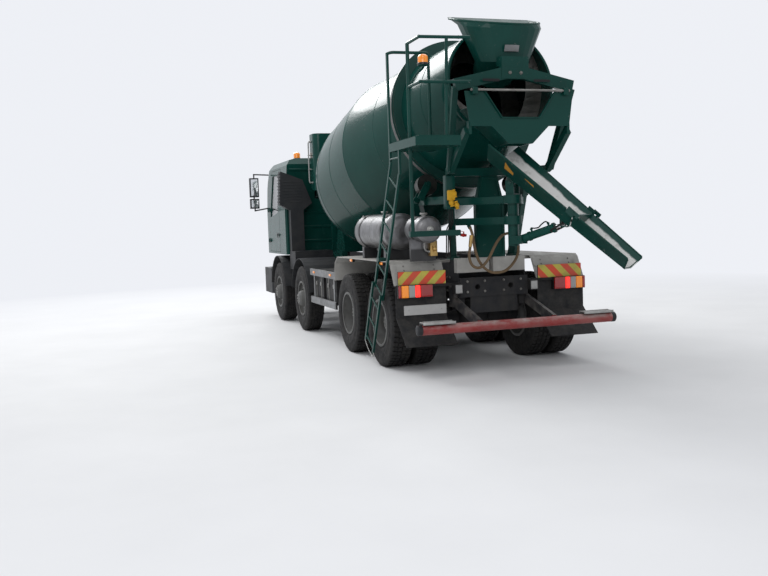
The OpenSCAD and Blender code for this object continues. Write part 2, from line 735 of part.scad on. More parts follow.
module hopper() {
    color("darkgreen") place() difference() {
        union() {
            for (i = [0:2])
                hull() {
                    funnel_section(FUNNEL[i], funnel_t);
                    funnel_section(FUNNEL[i + 1], funnel_t);
                }
            block([gable_x + 36 + seat_gap, -150, mouth_z + 130], [gable_x + 125, 150, mouth_z + 220]);
        }
        hull() {
            translate([-3, 0, 12]) funnel_section(FUNNEL[0], 0);
            funnel_section(FUNNEL[1], 0);
        }
        hull() {
            funnel_section(FUNNEL[1], 0);
            funnel_section(FUNNEL[2], 0);
        }
        hull() {
            funnel_section(FUNNEL[2], -1);
            translate([34, 0, -21]) funnel_section(FUNNEL[3], -1);
        }
    }
}

// Collecting trough behind the mouth: a rear plate with a V opening, and two slanted sides over an outlet
module discharge_trough() {
    lip = 24;
    color("darkgreen") place() {
        translate([trough_x, 0, trough_z]) rotate([90, 0, 90]) {
            linear_extrude(10)
                polygon([[-586, 187], [-337, 186], [-142, 0], [142, 0], [337, 186], [586, 187],
                    [640, 553], [409, 553], [219, 280],
                    [-219, 280], [-409, 553], [-640, 553]]);
            linear_extrude(mouth_x - trough_x - 100) for (s = [-1, 1])
                polygon([[s * 132, 0], [s * 142, 0], [s * 553, 392], [s * 546, 399]]);
            translate([0, 0, -lip]) linear_extrude(lip + 1)
                polygon([[-409, 553], [-219, 280], [219, 280], [409, 553], [416, 548], [223, 271],
                    [-223, 271], [-416, 548]]);
        }
        translate([mouth_x - 110, 0, trough_z]) rotate([90, 0, 90]) linear_extrude(10)
            polygon([[-140, 4], [140, 4], [220, 84], [-220, 84]]);
    }
}

// Cabinet from the boxes on the rails up to the cross beam, with a raised frame on its rear face
module column_outline() polygon([[-180, rail_top_z + end_box_h + seat_gap],
    [180, rail_top_z + end_box_h + seat_gap], [180, 1900],
    [100, 2235 - seat_gap], [-100, 2235 - seat_gap], [-180, 1900]]);

module centre_column() {
    color("darkgreen") place() translate([-rear_overhang, 0, 0]) rotate([90, 0, 90]) {
        linear_extrude(75) column_outline();
        translate([0, 0, -9]) linear_extrude(10) difference() {
            offset(delta = -12) column_outline();
            offset(delta = -36) column_outline();
        }
    }
}

module platform() {
    post_y = track_half - 32;
    color("darkgreen") place() {
        block([-1590, 740, deck_z - 90], [ladder_head_x[1] - seat_gap, track_half + 32, deck_z]);
        for (z = [(deck_z + handrail_z) / 2 + 50, handrail_z])
            pipe([[-1250, post_y, z], [-1610, post_y, z], [-1640, 760, z], [-1660, 640, z]], 17);
        rod([-1560, 890, deck_z - 1], [-1632, 890, handrail_z], 17);
        rod([-1250, post_y, 1630 + seat_gap], [-1250, post_y, handrail_z], 20);
    }
}

// Frame of the leaning ladder: x runs up and back along its stiles, and z is square to them
module on_ladder(y) place() translate([ladder_foot_x, y, ladder_foot_z]) rotate([0, -ladder_lean - 90, 0])
    children();

// Two flat stiles from u0 to u1 along the ladder, and round rungs from the first step on
module ladder_flight(u0, u1, first, count) {
    for (z = [-ladder_w / 2, ladder_w / 2 - stile_deep])
        translate([u0, 0, z]) cube([u1 - u0, stile_t, stile_deep]);
    for (k = [0:count - 1])
        translate([first + k * rung_step, stile_t / 2, -ladder_w / 2 + stile_deep / 2])
            cylinder(h = ladder_w - stile_deep, r = rung_r);
}

module ladder_upper() {
    y0 = track_half + 8;
    color("darkgreen") {
        on_ladder(y0) ladder_flight(0, ladder_top, 40, 6);
        place() {
            block([ladder_head_x[0], y0 - 2, ladder_bend_z - 90],
                [ladder_head_x[0] + stile_deep, y0 + stile_t - 2, deck_z - 90 - seat_gap]);
            block([ladder_head_x[1], y0 - 2, ladder_bend_z + 50],
                [ladder_head_x[1] + stile_deep, y0 + stile_t - 2, handrail_z]);
            rod([ladder_head_x[0] + stile_deep / 2, y0 + stile_t / 2, ladder_bend_z + 100],
                [ladder_head_x[1] + stile_deep / 2, y0 + stile_t / 2, ladder_bend_z + 100], rung_r);
            block([-200, track_half - 60, sub_top_z + 10 + seat_gap], [-110, y0 + stile_t, sub_top_z + 50]);
        }
    }
}

module ladder_lower() {
    y0 = track_half + 8 + stile_t + run_gap;
    color("darkgreen") on_ladder(y0) {
        ladder_flight(-760, 60, -700, 3);
        for (z = [-ladder_w / 2, ladder_w / 2 - stile_deep])
            translate([20, -run_gap + seat_gap, z]) cube([30, run_gap, stile_deep]);
    }
}

// Tank with domed ends
module tank(a, b, r) {
    long = norm(b - a);
    dome = [for (a = [0:15:90]) [r * sin(a), 0.35 * r * (1 - cos(a))]];
    along(a, b) rotate_extrude($fn = 64)
        polygon(concat(dome, [for (k = [6:-1:0]) [dome[k].x, long - dome[k].y]]));
}

module side_tanks() {
    foot_z = sub_top_z + 10 + seat_gap;
    big_y = track_half - 272;
    small_y = track_half - 362;
    color("silver") place() {
        tank([-250, big_y, 1620], [1150, big_y, 1620], 215);
        tank([-900, small_y, 1640], [-420, small_y, 1640], 150);
        rod([-460, small_y + 20, 1640], [-200, small_y + 20, 1640], 40);
        for (x = [0, 900]) {
            rod([x - 25, big_y, 1620], [x + 25, big_y, 1620], 221);
            block([x - 40, big_y - 340, foot_z], [x + 40, big_y + 160, 1430]);
        }
        rod([-655, small_y, 1640], [-615, small_y, 1640], 155);
        block([-660, small_y - 150, foot_z], [-610, small_y + 150, 1530]);
    }
}

module water_hose() {
    color("tan") place() route_tube(hose_route, hose_r, 10);
}

module hose_nozzle() {
    last = hose_route[len(hose_route) - 1];
    tip = route_dir(hose_route, len(hose_route) - 1);
    color("goldenrod") place() rod(last + seat_gap * tip, last + 130 * tip, 20);
}

// Chute: x runs out along the chute from the swivel's axis
module chute_plane() place() translate([swivel_x, 0, 0]) rotate([0, 0, 180 + chute_turn]) children();

module chute_swivel() {
    head_z = collar_z[1] + collar_h + seat_gap;
    color("darkgreen") chute_plane() {
        translate([0, 0, 1430]) cylinder(h = head_z - 1429, r = swivel_r);
        block([-50, -68, head_z], [50, 68, head_z + 14]);
        for (s = [-1, 1]) {
            difference() {
                block([-50, s * 60 - 8, head_z], [50, s * 60 + 8, tilt_pin_z + 30]);
                translate([0, 0, tilt_pin_z]) rotate([90, 0, 0])
                    cylinder(h = 300, r = 20 + seat_gap, center = true);
            }
            difference() {
                block([0, s * 60 - 8, 1450], [barrel_foot.x + 40, s * 60 + 8, barrel_foot.y + 40]);
                translate([barrel_foot.x, 0, barrel_foot.y]) rotate([90, 0, 0])
                    cylinder(h = 300, r = 16, center = true);
            }
        }
    }
}

module along_cylinder() chute_plane() translate([barrel_foot.x, 0, barrel_foot.y])
    rotate([0, -atan2(rod_pin.y - barrel_foot.y, rod_pin.x - barrel_foot.x), 0]) children();

module chute_barrel() {
    reach = norm(rod_pin - barrel_foot);
    color("darkgreen") along_cylinder() {
        rotate([90, 0, 0]) cylinder(h = 130, r = 15.7, center = true);
        rotate([90, 0, 0]) cylinder(h = 90, r = 30, center = true);
        difference() {
            rotate([0, 90, 0]) cylinder(h = reach - 130, r = barrel_r);
            translate([60, 0, 0]) rotate([0, 90, 0]) cylinder(h = reach, r = rod_r + seat_gap);
        }
    }
}

module chute_rod() {
    reach = norm(rod_pin - barrel_foot);
    color("silver") along_cylinder() {
        translate([140, 0, 0]) rotate([0, 90, 0]) cylinder(h = reach - 140, r = rod_r);
        translate([reach, 0, 0]) rotate([90, 0, 0]) cylinder(h = 60, r = 30, center = true);
        translate([reach, 0, 0]) rotate([90, 0, 0]) cylinder(h = 120, r = 14, center = true);
    }
}

// Slope frame: x runs down the chute's rim line from above the swivel's axis, z is square to it
module on_slope() chute_plane() translate([0, 0, head_rim_z]) rotate([0, chute_slope, 0]) children();

// Trough of folded plate between two stations: half widths w0 and w1
module trough(x0, x1, w0, w1, deep, t) {
    hull() {
        for (s = [-1, 1]) translate([x0, s * w0 - (s > 0 ? t : 0), 0]) cube([1, t, 1]);
        for (s = [-1, 1]) translate([x0, s * w0 * 0.45 - (s > 0 ? t : 0), -deep]) cube([1, t, 1]);
        for (s = [-1, 1]) translate([x1 - 1, s * w1 - (s > 0 ? t : 0), 0]) cube([1, t, 1]);
        for (s = [-1, 1]) translate([x1 - 1, s * w1 * 0.45 - (s > 0 ? t : 0), -deep * 0.85])
            cube([1, t, 1]);
    }
}

module chute_main() {
    color("darkgreen") difference() {
        union() {
            on_slope() trough(-head_back, chute_len, head_half, fold_half, chute_deep, chute_t);
            chute_plane() {
                block([-40, -50, tilt_pin_z], [60, 50, tilt_pin_z + 90]);
                for (s = [-1, 1])
                    translate([rod_pin.x, s * 44, rod_pin.y]) difference() {
                        union() {
                            rotate([90, 0, 0]) cylinder(h = 12, r = 38, center = true);
                            translate([-38, -6, 0]) cube([76, 12, 90]);
                        }
                        rotate([90, 0, 0]) cylinder(h = 14, r = 25, center = true);
                    }
            }
        }
        on_slope() translate([-1, 0, chute_t]) scale([1.02, 0.97, 1])
            trough(-head_back - 5, chute_len + 5, head_half, fold_half, chute_deep, chute_t);
    }
    color("darkgreen") {
        chute_plane() {
            translate([0, 0, tilt_pin_z]) rotate([90, 0, 0]) cylinder(h = 100, r = 34, center = true);
            translate([0, 0, tilt_pin_z]) rotate([90, 0, 0]) cylinder(h = 150, r = 20, center = true);
        }
        on_slope() both_sides() {
            block([chute_len - 80, fold_half - 8, -30], [chute_len + 20, fold_half + 4, fold_pin_z + 15]);
            translate([chute_len + 4, fold_half + 28, fold_pin_z]) rotate([90, 0, 0])
                cylinder(h = 32, r = fold_pin_r);
        }
    }
}

module chute_extension() {
    color("darkgreen") on_slope() {
        difference() {
            trough(chute_len + 8, chute_len + extension_len, fold_half - 14, lip_half,
                chute_deep * 0.85 - 14, chute_t);
            translate([-1, 0, chute_t]) scale([1.02, 0.97, 1])
                trough(chute_len, chute_len + extension_len + 5, fold_half - 14, lip_half,
                    chute_deep * 0.85 - 14, chute_t);
        }
        both_sides() {
            difference() {
                block([chute_len - 14, fold_half + 12, 4], [chute_len + 80, fold_half + 20,
                    fold_pin_z + 20]);
                translate([chute_len + 4, fold_half, fold_pin_z]) rotate([-90, 0, 0])
                    cylinder(h = 40, r = fold_pin_r + seat_gap);
            }
            block([chute_len + 50, fold_half - 30, -6], [chute_len + 80, fold_half + 20, 12]);
        }
    }
}

// Cab

function cab_side(grow) = [[cab_rear_x - grow, cab_low_z - grow],
    [cab_front_x - 60 + grow, cab_low_z - grow], [cab_front_x + grow, cab_low_z + 60],
    [cab_front_x + grow, 1900], [cab_front_x - 110 + grow, 2560],
        [cab_front_x - 240 + grow, cab_top_z - 90], [cab_front_x - 400, cab_top_z + grow],
    [cab_rear_x + 120, cab_top_z + grow], [cab_rear_x - grow, cab_top_z - 110]];

module cab_body(grow) {
    intersection() {
        side_plate(-cab_half - grow, cab_half + grow) polygon(cab_side(grow));
        translate([0, 0, cab_low_z - 10 - grow]) linear_extrude(cab_top_z - cab_low_z + 20 + 2 * grow)
            polygon([[cab_rear_x - grow, -cab_half + 30 - grow], [cab_rear_x + 30, -cab_half - grow],
                [cab_front_x - 160, -cab_half - grow], [cab_front_x - 40, -cab_half + 60 - grow],
                [cab_front_x + grow, -cab_half + 190], [cab_front_x + grow, cab_half - 190],
                    [cab_front_x - 40, cab_half - 60 + grow], [cab_front_x - 160, cab_half + grow],
                [cab_rear_x + 30, cab_half + grow], [cab_rear_x - grow, cab_half - 30 + grow]]);
        translate([cab_rear_x - 10 - grow, 0, 0]) rotate([90, 0, 90])
            linear_extrude(cab_len + 20 + 2 * grow)
            polygon([[-cab_half - grow, cab_low_z - 10 - grow], [cab_half + grow, cab_low_z - 10 - grow],
                [cab_half + grow, 2000], [cab_half - 60 + grow, cab_top_z - 130],
                [cab_half - 130, cab_top_z - 30], [cab_half - 260, cab_top_z + grow],
                    [-cab_half + 260, cab_top_z + grow], [-cab_half + 130, cab_top_z - 30],
                [-cab_half + 60 - grow, cab_top_z - 130], [-cab_half - grow, 2000]]);
    }
}

// The gap behind the door is twice the one before it, for the swing of its upper part
function door_outline(grow) = [[door_rear_x - 2 * grow, door_low_z - grow],
    [door_front_x + grow, door_low_z - grow], [door_front_x + grow, 2000],
    [door_front_x - 90 + grow, door_top_z + grow], [door_rear_x - 2 * grow, door_top_z + grow]];

module side_window(grow)
    polygon([[door_rear_x + 90 - grow, 1980 - grow], [door_front_x - 90 + grow, 1900 - grow],
        [door_front_x - 160 + grow, door_top_z - 90 + grow], [door_rear_x + 90 - grow,
        door_top_z - 90 + grow]]);

module hinge_eyes(x, y) for (z = hinge_zs)
    translate([x, y, z]) difference() {
        cylinder(h = 40, r = 2 * hinge_r);
        translate([0, 0, -1]) cylinder(h = 42, r = hinge_r + seat_gap);
    }

module cab_shell() {
    color("darkgreen") place() {
        difference() {
            cab_body(0);
            cab_body(-cab_wall);
            both_sides() side_plate(cab_half - 200, cab_half + 50) polygon(door_outline(run_gap));
            block([cab_front_x - 400, -cab_half + 170, 1960],
                [cab_front_x + 50, cab_half - 170, cab_top_z - 160]);
            block([cab_rear_x - 50, -600, 2200], [cab_rear_x + 100, 600, 2620]);
        }
        both_sides() {
            for (z = hinge_zs) {
                translate([door_front_x + 20, hinge_y, z - 18]) cylinder(h = 76, r = hinge_r);
                for (dz = [-18, 44])
                    block([door_front_x + 12, cab_half - 20, z + dz],
                        [door_front_x + 40, hinge_y + hinge_r, z + dz + 14]);
            }
            difference() {
                block([pivot_x - 60, frame_half - rail_flange - 40, pivot_z - 35],
                    [pivot_x + 60, frame_half - rail_flange - seat_gap, cab_low_z + 10]);
                rod([pivot_x, 0, pivot_z], [pivot_x, frame_half, pivot_z], pivot_r + seat_gap);
            }
        }
    }
}

module cab_door(side) {
    color("darkgreen") place() on_side(side) {
        difference() {
            intersection() {
                difference() {
                    cab_body(0);
                    cab_body(-door_t);
                }
                side_plate(cab_half - 190, cab_half + 40) polygon(door_outline(0));
            }
            side_plate(cab_half - 300, cab_half + 60) side_window(0);
        }
        hinge_eyes(door_front_x + 20, hinge_y);
        for (z = hinge_zs)
            block([door_front_x - 60, cab_half - 10, z + 4], [door_front_x - 8, hinge_y + 6, z + 36]);
        for (z = hinge_zs)
            block([door_front_x - 9, cab_half + 5, z + 4], [door_front_x + 8, hinge_y + 6, z + 36]);
    }
}

module cab_interior() {
    inside_half = cab_half - 150;
    wheel_hub = [cab_front_x - 570, (seat_y[0] + seat_y[1]) / 2, 1970];
    color("dimgray") place() {
        both_sides() {
            block([cab_rear_x + 250, seat_y[0], seat_low_z], [cab_rear_x + 800, seat_y[1], seat_top_z]);
            block([cab_rear_x + 180, seat_y[0] + 20, seat_top_z],
                [cab_rear_x + 300, seat_y[1] - 20, seat_top_z + 710]);
        }
        block([cab_rear_x + 200, -inside_half, cab_low_z + cab_wall + seat_gap],
            [cab_front_x - 300, inside_half, seat_low_z]);
        block([dash_x, -inside_half, seat_low_z], [dash_x + 280, inside_half, seat_low_z + 550]);
        rod([dash_x + 20, wheel_hub.y, 1800], wheel_hub + [3, 0, -1], 25);
        translate(wheel_hub) rotate([0, -40, 0]) {
            rotate_extrude() translate([215, 0]) circle(r = 16);
            cube([430, 40, 20], center = true);
        }
    }
}

module cab_glass() {
    color("lightblue") place() {
        intersection() {
            difference() {
                cab_body(-20);
                cab_body(-28);
            }
            block([cab_front_x - 380, -cab_half + 170 + seat_gap, 1960 + seat_gap],
                [cab_front_x + 50, cab_half - 170 - seat_gap, cab_top_z - 160 - seat_gap]);
        }
        block([cab_rear_x + 20, -600 + seat_gap, 2200 + seat_gap],
            [cab_rear_x + 28, 600 - seat_gap, 2620 - seat_gap]);
    }
}

module mirrors() {
    x = cab_front_x - 230;
    color("dimgray") place() both_sides() {
        block([x, 1310, 2300], [x + 90, 1480, 2670]);
        block([x, 1310, 2080], [x + 90, 1480, 2270]);
        rod([x + 50, 1400, 2269], [x + 50, 1400, 2301], 14);
        pipe([[x - 60, cab_half + seat_gap, 2080], [x + 50, 1390, 2040], [x + 50, 1390, 2090]], 13);
        pipe([[x - 60, cab_half - 30, 2720], [x + 50, 1390, 2740], [x + 50, 1390, 2660]], 13);
    }
}

module single_tyre(i, side) color("black") wheel_at(i, side) tyre_body(track_half - tyre_w);

module twin_tyres(i, side) color("black") wheel_at(i, side) {
    tyre_body(track_half - tyre_w);
    tyre_body(track_half - 2 * tyre_w - twin_gap);
}

chassis_frame();
front_bumper();
driveline();
front_axles();
rear_axles();
cab_fenders();
rear_mudguards();
mudflaps();
side_guards();
tanks_boxes();
underrun_bar();
rear_lights();
front_pedestal();
water_tank();
rear_pedestal();
hopper();
discharge_trough();
platform();
ladder_upper();
ladder_lower();
side_tanks();
water_hose();
hose_nozzle();
centre_column();
chute_swivel();
chute_barrel();
chute_rod();
chute_main();
chute_extension();
drum_shell();
drum_blades();
track_ring();
roller(1);  // roller_left
roller(-1);  // roller_right
cab_shell();
cab_interior();
cab_glass();
cab_door(1);  // door_left
cab_door(-1);  // door_right
mirrors();
knuckle(0, 1);  // knuckle_1_left
knuckle(0, -1);  // knuckle_1_right
knuckle(1, 1);  // knuckle_2_left
knuckle(1, -1);  // knuckle_2_right
front_wheel(0, 1);  // wheel_1_left
front_wheel(0, -1);  // wheel_1_right
front_wheel(1, 1);  // wheel_2_left
front_wheel(1, -1);  // wheel_2_right
rear_wheel(2, 1);  // wheel_3_left
rear_wheel(2, -1);  // wheel_3_right
rear_wheel(3, 1);  // wheel_4_left
rear_wheel(3, -1);  // wheel_4_right
single_tyre(0, 1);  // tyre_1_left
single_tyre(0, -1);  // tyre_1_right
single_tyre(1, 1);  // tyre_2_left
single_tyre(1, -1);  // tyre_2_right
twin_tyres(2, 1);  // tyres_3_left
twin_tyres(2, -1);  // tyres_3_right
twin_tyres(3, 1);  // tyres_4_left
twin_tyres(3, -1);  // tyres_4_right
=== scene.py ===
"""Eight-wheel concrete mixer truck: finishes, tyres, fittings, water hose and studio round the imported
solids."""
import math

import bmesh
import bpy
import numpy as np
from bpy.props import FloatProperty, FloatVectorProperty, IntProperty, PointerProperty
from mathutils import Matrix, Vector


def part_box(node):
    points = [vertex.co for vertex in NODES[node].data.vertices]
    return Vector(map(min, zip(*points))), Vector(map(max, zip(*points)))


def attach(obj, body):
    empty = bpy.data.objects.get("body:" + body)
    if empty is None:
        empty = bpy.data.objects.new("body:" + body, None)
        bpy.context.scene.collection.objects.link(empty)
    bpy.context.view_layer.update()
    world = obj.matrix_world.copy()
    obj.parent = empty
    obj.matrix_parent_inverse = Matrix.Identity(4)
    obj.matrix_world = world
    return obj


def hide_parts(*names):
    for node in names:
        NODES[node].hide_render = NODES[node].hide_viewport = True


bl_info = {
    "name": "Concrete mixer truck",
    "version": (1, 0, 0),
    "blender": (4, 5, 0),
    "location": "3D View > Sidebar > Mixer",
    "description": "Finishes and fittings of an eight-wheel concrete mixer truck",
    "category": "Object",
}

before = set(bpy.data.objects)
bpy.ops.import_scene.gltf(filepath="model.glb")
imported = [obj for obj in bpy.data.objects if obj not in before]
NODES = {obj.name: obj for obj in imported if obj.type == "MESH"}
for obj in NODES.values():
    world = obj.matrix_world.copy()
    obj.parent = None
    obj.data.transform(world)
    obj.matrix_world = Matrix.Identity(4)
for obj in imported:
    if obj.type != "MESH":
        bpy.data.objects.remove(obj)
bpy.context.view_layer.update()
HUBS = [np.mean(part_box(f"wheel_{i}_left"), axis=0).tolist() for i in (1, 2, 3, 4)]
LAST_AXLE, WHEEL_Z = HUBS[-1][0], HUBS[-1][2]
AXLES = [hub[0] - LAST_AXLE for hub in HUBS]
SIDES = {"left": 1.0, "right": -1.0}

# Truck sizes in metres that the fittings share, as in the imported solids
TYRE_R, TYRE_W, BEAD_R = 0.53, 0.285, 0.286
TRACK_HALF, FRAME_HALF = 1.212, 0.43
DRUM_FRONT, DRUM_TILT, DRUM_LEN = np.array([4.415, 0, 2.193]), math.radians(11), 5.54
DRUM_R, DRUM_FRONT_R, MOUTH_R, DOME_LEN, CONE_START = 1.1, 0.47, 0.62, 1.19, 2.74
SWIVEL_X, CHUTE_TURN, CHUTE_SLOPE, HEAD_RIM_Z = -1.25, math.radians(35), math.radians(40), 2.45
MOUTH_X = DRUM_FRONT[0] - DRUM_LEN * math.cos(DRUM_TILT)
MOUTH_Z = DRUM_FRONT[2] + DRUM_LEN * math.sin(DRUM_TILT)
TROUGH_X = MOUTH_X - 0.457
GABLE_X = TROUGH_X + 0.13
WATER_TANK_X = 5.24


def truck(points):
    """Points counted from the last axle, moved into the frame of the part."""
    return np.asarray(points, float) + (LAST_AXLE, 0, 0)


# Shapes


class Form:
    """Vertices, faces and material numbers of one piece, gathered patch by patch."""

    def __init__(self):
        self.points, self.faces, self.mats, self.count = [], [], [], 0

    def add(self, points, faces, mat=0):
        points = np.asarray(points, float).reshape(-1, 3)
        self.points.append(points)
        for face in faces:
            self.faces.append([int(k) + self.count for k in face])
        self.mats += [mat] * len(faces)
        self.count += len(points)

    def lattice(self, p, wrap_u=False, wrap_v=False, caps=False, mat=0):
        """Quads over the grid p[u, v]. A wrapped side joins its last row to its first; caps close both
        end rows."""
        nu, nv = p.shape[:2]
        i = np.arange(nu if wrap_u else nu - 1)[:, None]
        j = np.arange(nv if wrap_v else nv - 1)[None, :]
        i2, j2 = (i + 1) % nu, (j + 1) % nv
        quads = np.stack([i * nv + j, i * nv + j2, i2 * nv + j2, i2 * nv + j], -1).reshape(-1, 4).tolist()
        if caps:
            quads += [list(range(nv))[::-1], list(range((nu - 1) * nv, nu * nv))]
        self.add(p, quads, mat)

    def turned(self, profile, base, axis, sides=32, ring=False, mat=0):
        """Surface of revolution: profile (r, h) goes to base + h axis + r (cos a U + sin a V)."""
        u, v, w = basis(axis)
        r, h = np.asarray(profile, float).T[:, :, None, None]
        a = turns(sides)[:, None]
        self.lattice(np.asarray(base, float) + h * w + r * (np.cos(a) * u + np.sin(a) * v), wrap_u=ring,
            wrap_v=True, caps=not ring, mat=mat)

    def swept(self, path, section, up=(0, 0, 1), closed=False, mat=0):
        """Section (s, t) carried along a path: path + s side + t top, where side = tangent x up and top =
        side x tangent."""
        path = np.asarray(path, float)
        section = np.asarray(section, float)
        if closed:
            tangent = np.roll(path, -1, 0) - np.roll(path, 1, 0)
        else:
            tangent = np.gradient(path, axis=0)
        tangent = unit(tangent)
        side = unit(np.cross(tangent, np.asarray(up, float)))
        top = np.cross(side, tangent)
        p = path[:, None] + section[None, :, :1] * side[:, None] + section[None, :, 1:] * top[:, None]
        self.lattice(p, wrap_u=closed, wrap_v=True, caps=not closed, mat=mat)

    def tube(self, path, radius, sides=10, up=(0.13, 0.21, 1), closed=False, mat=0):
        """Round tube along a path."""
        self.swept(path, ring(radius, sides), up, closed, mat)

    def block(self, low, high, soft=0.004, mat=0, steps=2):
        """Rounded block: sign(s) (half - soft) + soft s over a sphere of directions s, whose octants sit
        at the corners."""
        low, high = np.minimum(low, high), np.maximum(low, high)
        half = (high - low) / 2
        soft = min(soft, 0.999 * half.min())
        quarter = np.linspace(0, math.pi / 2, steps + 1)
        lon = np.concatenate([quarter + k * math.pi / 2 for k in range(4)])
        sx = np.repeat([1, -1, -1, 1], steps + 1)
        sy = np.repeat([1, 1, -1, -1], steps + 1)
        lat = np.concatenate([quarter - math.pi / 2, quarter])
        sz = np.repeat([-1, 1], steps + 1)
        level, rise = np.cos(lat)[:, None], np.sin(lat)[:, None]
        s = points_at(level * np.cos(lon), level * np.sin(lon), rise)
        sign = points_at(sx, sy, sz[:, None])
        self.lattice(sign * (half - soft) + soft * s + (low + high) / 2, wrap_v=True, caps=True, mat=mat)

    def stepped(self, centre, half, corner, rows, facing, mat=0, steps=4):
        """Raised rounded rectangle: each row (inset, height) is centre + (half - inset - r) corner signs
        + r (cos a, sin a), with r = corner - inset, at its height along u x v."""
        u, v = (np.asarray(d, float) for d in facing)
        w = np.cross(u, v)
        a = (np.linspace(0, math.pi / 2, steps + 1)[None] + np.arange(4)[:, None] * math.pi / 2).ravel()
        s, t = np.repeat([1, -1, -1, 1], steps + 1), np.repeat([1, 1, -1, -1], steps + 1)
        inset, height = np.asarray(rows, float).T[:, :, None]
        r = np.maximum(corner - inset, 0.0004)
        x = s * (half[0] - inset - r) + r * np.cos(a)
        y = t * (half[1] - inset - r) + r * np.sin(a)
        self.lattice(np.asarray(centre, float) + points_at(x, y, height) @ np.stack([u, v, w]), wrap_v=True,
            caps=True, mat=mat)

    def relief(self, origin, facing, s, t, height, mat=0, under=0.0015):
        """Plate with heights over the grid of places s and t, and a flat back at the depth under."""
        u, v = (np.asarray(d, float) for d in facing)
        w = np.cross(u, v)
        top = points_at(s[:, None], t[None], height)
        ends = top[:, [-1, 0]] * (1, 1, 0) - (0, 0, under)
        p = np.concatenate([top, ends], 1)
        self.lattice(np.asarray(origin, float) + p @ np.stack([u, v, w]), wrap_v=True, caps=True, mat=mat)

    def sheet(self, face, back, mat=0):
        """Thin sheet between two lattices of points, its outer face first."""
        self.lattice(np.concatenate([face, back[:, ::-1]], 1), wrap_v=True, caps=True, mat=mat)

    def stamped(self, shape, places, axes, mat=0):
        """Copies of one small shape (points, faces), turned so that its z follows each axis and moved to
        each place. One axis may serve all places."""
        points, faces = shape
        for place, axis in zip(*np.broadcast_arrays(np.asarray(places, float), np.asarray(axes, float))):
            self.add(place + points @ np.stack(basis(axis)), faces, mat)


def points_at(x, y, z):
    """Points whose coordinates are numbers or arrays, spread to one shape."""
    return np.stack(np.broadcast_arrays(x, y, z), -1).astype(float)


def turns(count):
    """Equal angles round a full circle."""
    return np.arange(count) / count * 2 * math.pi


def unit(v):
    """Vectors of length one."""
    v = np.asarray(v, float)
    return v / np.maximum(np.linalg.norm(v, axis=-1, keepdims=True), 1e-12)


def basis(axis):
    """Two directions square to the axis, and the axis."""
    w = unit(axis)
    u = unit(np.cross((0, 0, 1) if abs(w[2]) < 0.9 else (1, 0, 0), w))
    return u, np.cross(w, u), w


def ring(radius, sides=10):
    """Round section of a tube."""
    a = turns(sides)
    return np.stack([radius * np.cos(a), radius * np.sin(a)], -1)


def nut(radius, height):
    """Hexagon nut with a chamfered top on a round washer: rings of points joined row by row."""
    rows = [(1.25, 0), (1.25, 0.18), (1.0, 0.18), (1.0, 0.85), (0.82, 1.0), (0.45, 1.0), (0.45, 1.3)]
    r, h = np.array(rows).T[:, :, None] * [[[radius]], [[height]]]
    a = turns(6)
    form = Form()
    form.lattice(points_at(r * np.cos(a), r * np.sin(a), h), wrap_v=True, caps=True)
    return form.points[0], form.faces


def smooth_path(points, count):
    """Catmull-Rom curve through the points, sampled count times in all."""
    p = np.asarray(points, float)
    q = np.concatenate([2 * p[:1] - p[1:2], p, 2 * p[-1:] - p[-2:-1]])
    spans = len(q) - 3
    t = np.linspace(0, spans, count)
    k = np.minimum(t.astype(int), spans - 1)
    f = (t - k)[:, None]
    a, b, c, d = q[k], q[k + 1], q[k + 2], q[k + 3]
    return 0.5 * (2 * b + (c - a) * f + (2 * a - 5 * b + 4 * c - d) * f**2 + (3 * b - a - 3 * c + d) * f**3)


def rounded(points, r, steps=5):
    """Path whose inner corners are quadratic bends that start and end at the distance r from the corner."""
    p = np.asarray(points, float)
    a = p[1:-1] + r * unit(p[:-2] - p[1:-1])
    b = p[1:-1] + r * unit(p[2:] - p[1:-1])
    t = np.linspace(0, 1, steps)[None, :, None]
    bend = (1 - t) ** 2 * a[:, None] + 2 * t * (1 - t) * p[1:-1, None] + t**2 * b[:, None]
    return np.concatenate([p[:1], bend.reshape(-1, 3), p[-1:]])


def piece(name, form, finishes, body, sharp=35, stands_for=()):
    """Makes the mesh object: doubles merged, faces turned outwards, smooth below the given edge angle.
    The form's points are counted from the last axle, and its finishes are named with spaces between
    them."""
    mats = [finish(word) for word in finishes.split()]
    mesh = bpy.data.meshes.new(name)
    mesh.from_pydata(truck(np.concatenate(form.points)).tolist(), [], form.faces)
    mesh.polygons.foreach_set("material_index", form.mats)
    b = bmesh.new()
    b.from_mesh(mesh)
    bmesh.ops.remove_doubles(b, verts=b.verts, dist=2e-5)
    bmesh.ops.dissolve_degenerate(b, edges=b.edges, dist=1e-6)
    bmesh.ops.recalc_face_normals(b, faces=b.faces)
    b.to_mesh(mesh)
    b.free()
    mesh.shade_smooth()
    mesh.set_sharp_from_angle(angle=math.radians(sharp))
    for m in mats:
        mesh.materials.append(m)
    obj = bpy.data.objects.new(name, mesh)
    bpy.context.scene.collection.objects.link(obj)
    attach(obj, body)
    if stands_for:
        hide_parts(*stands_for)
    return obj


# Finishes


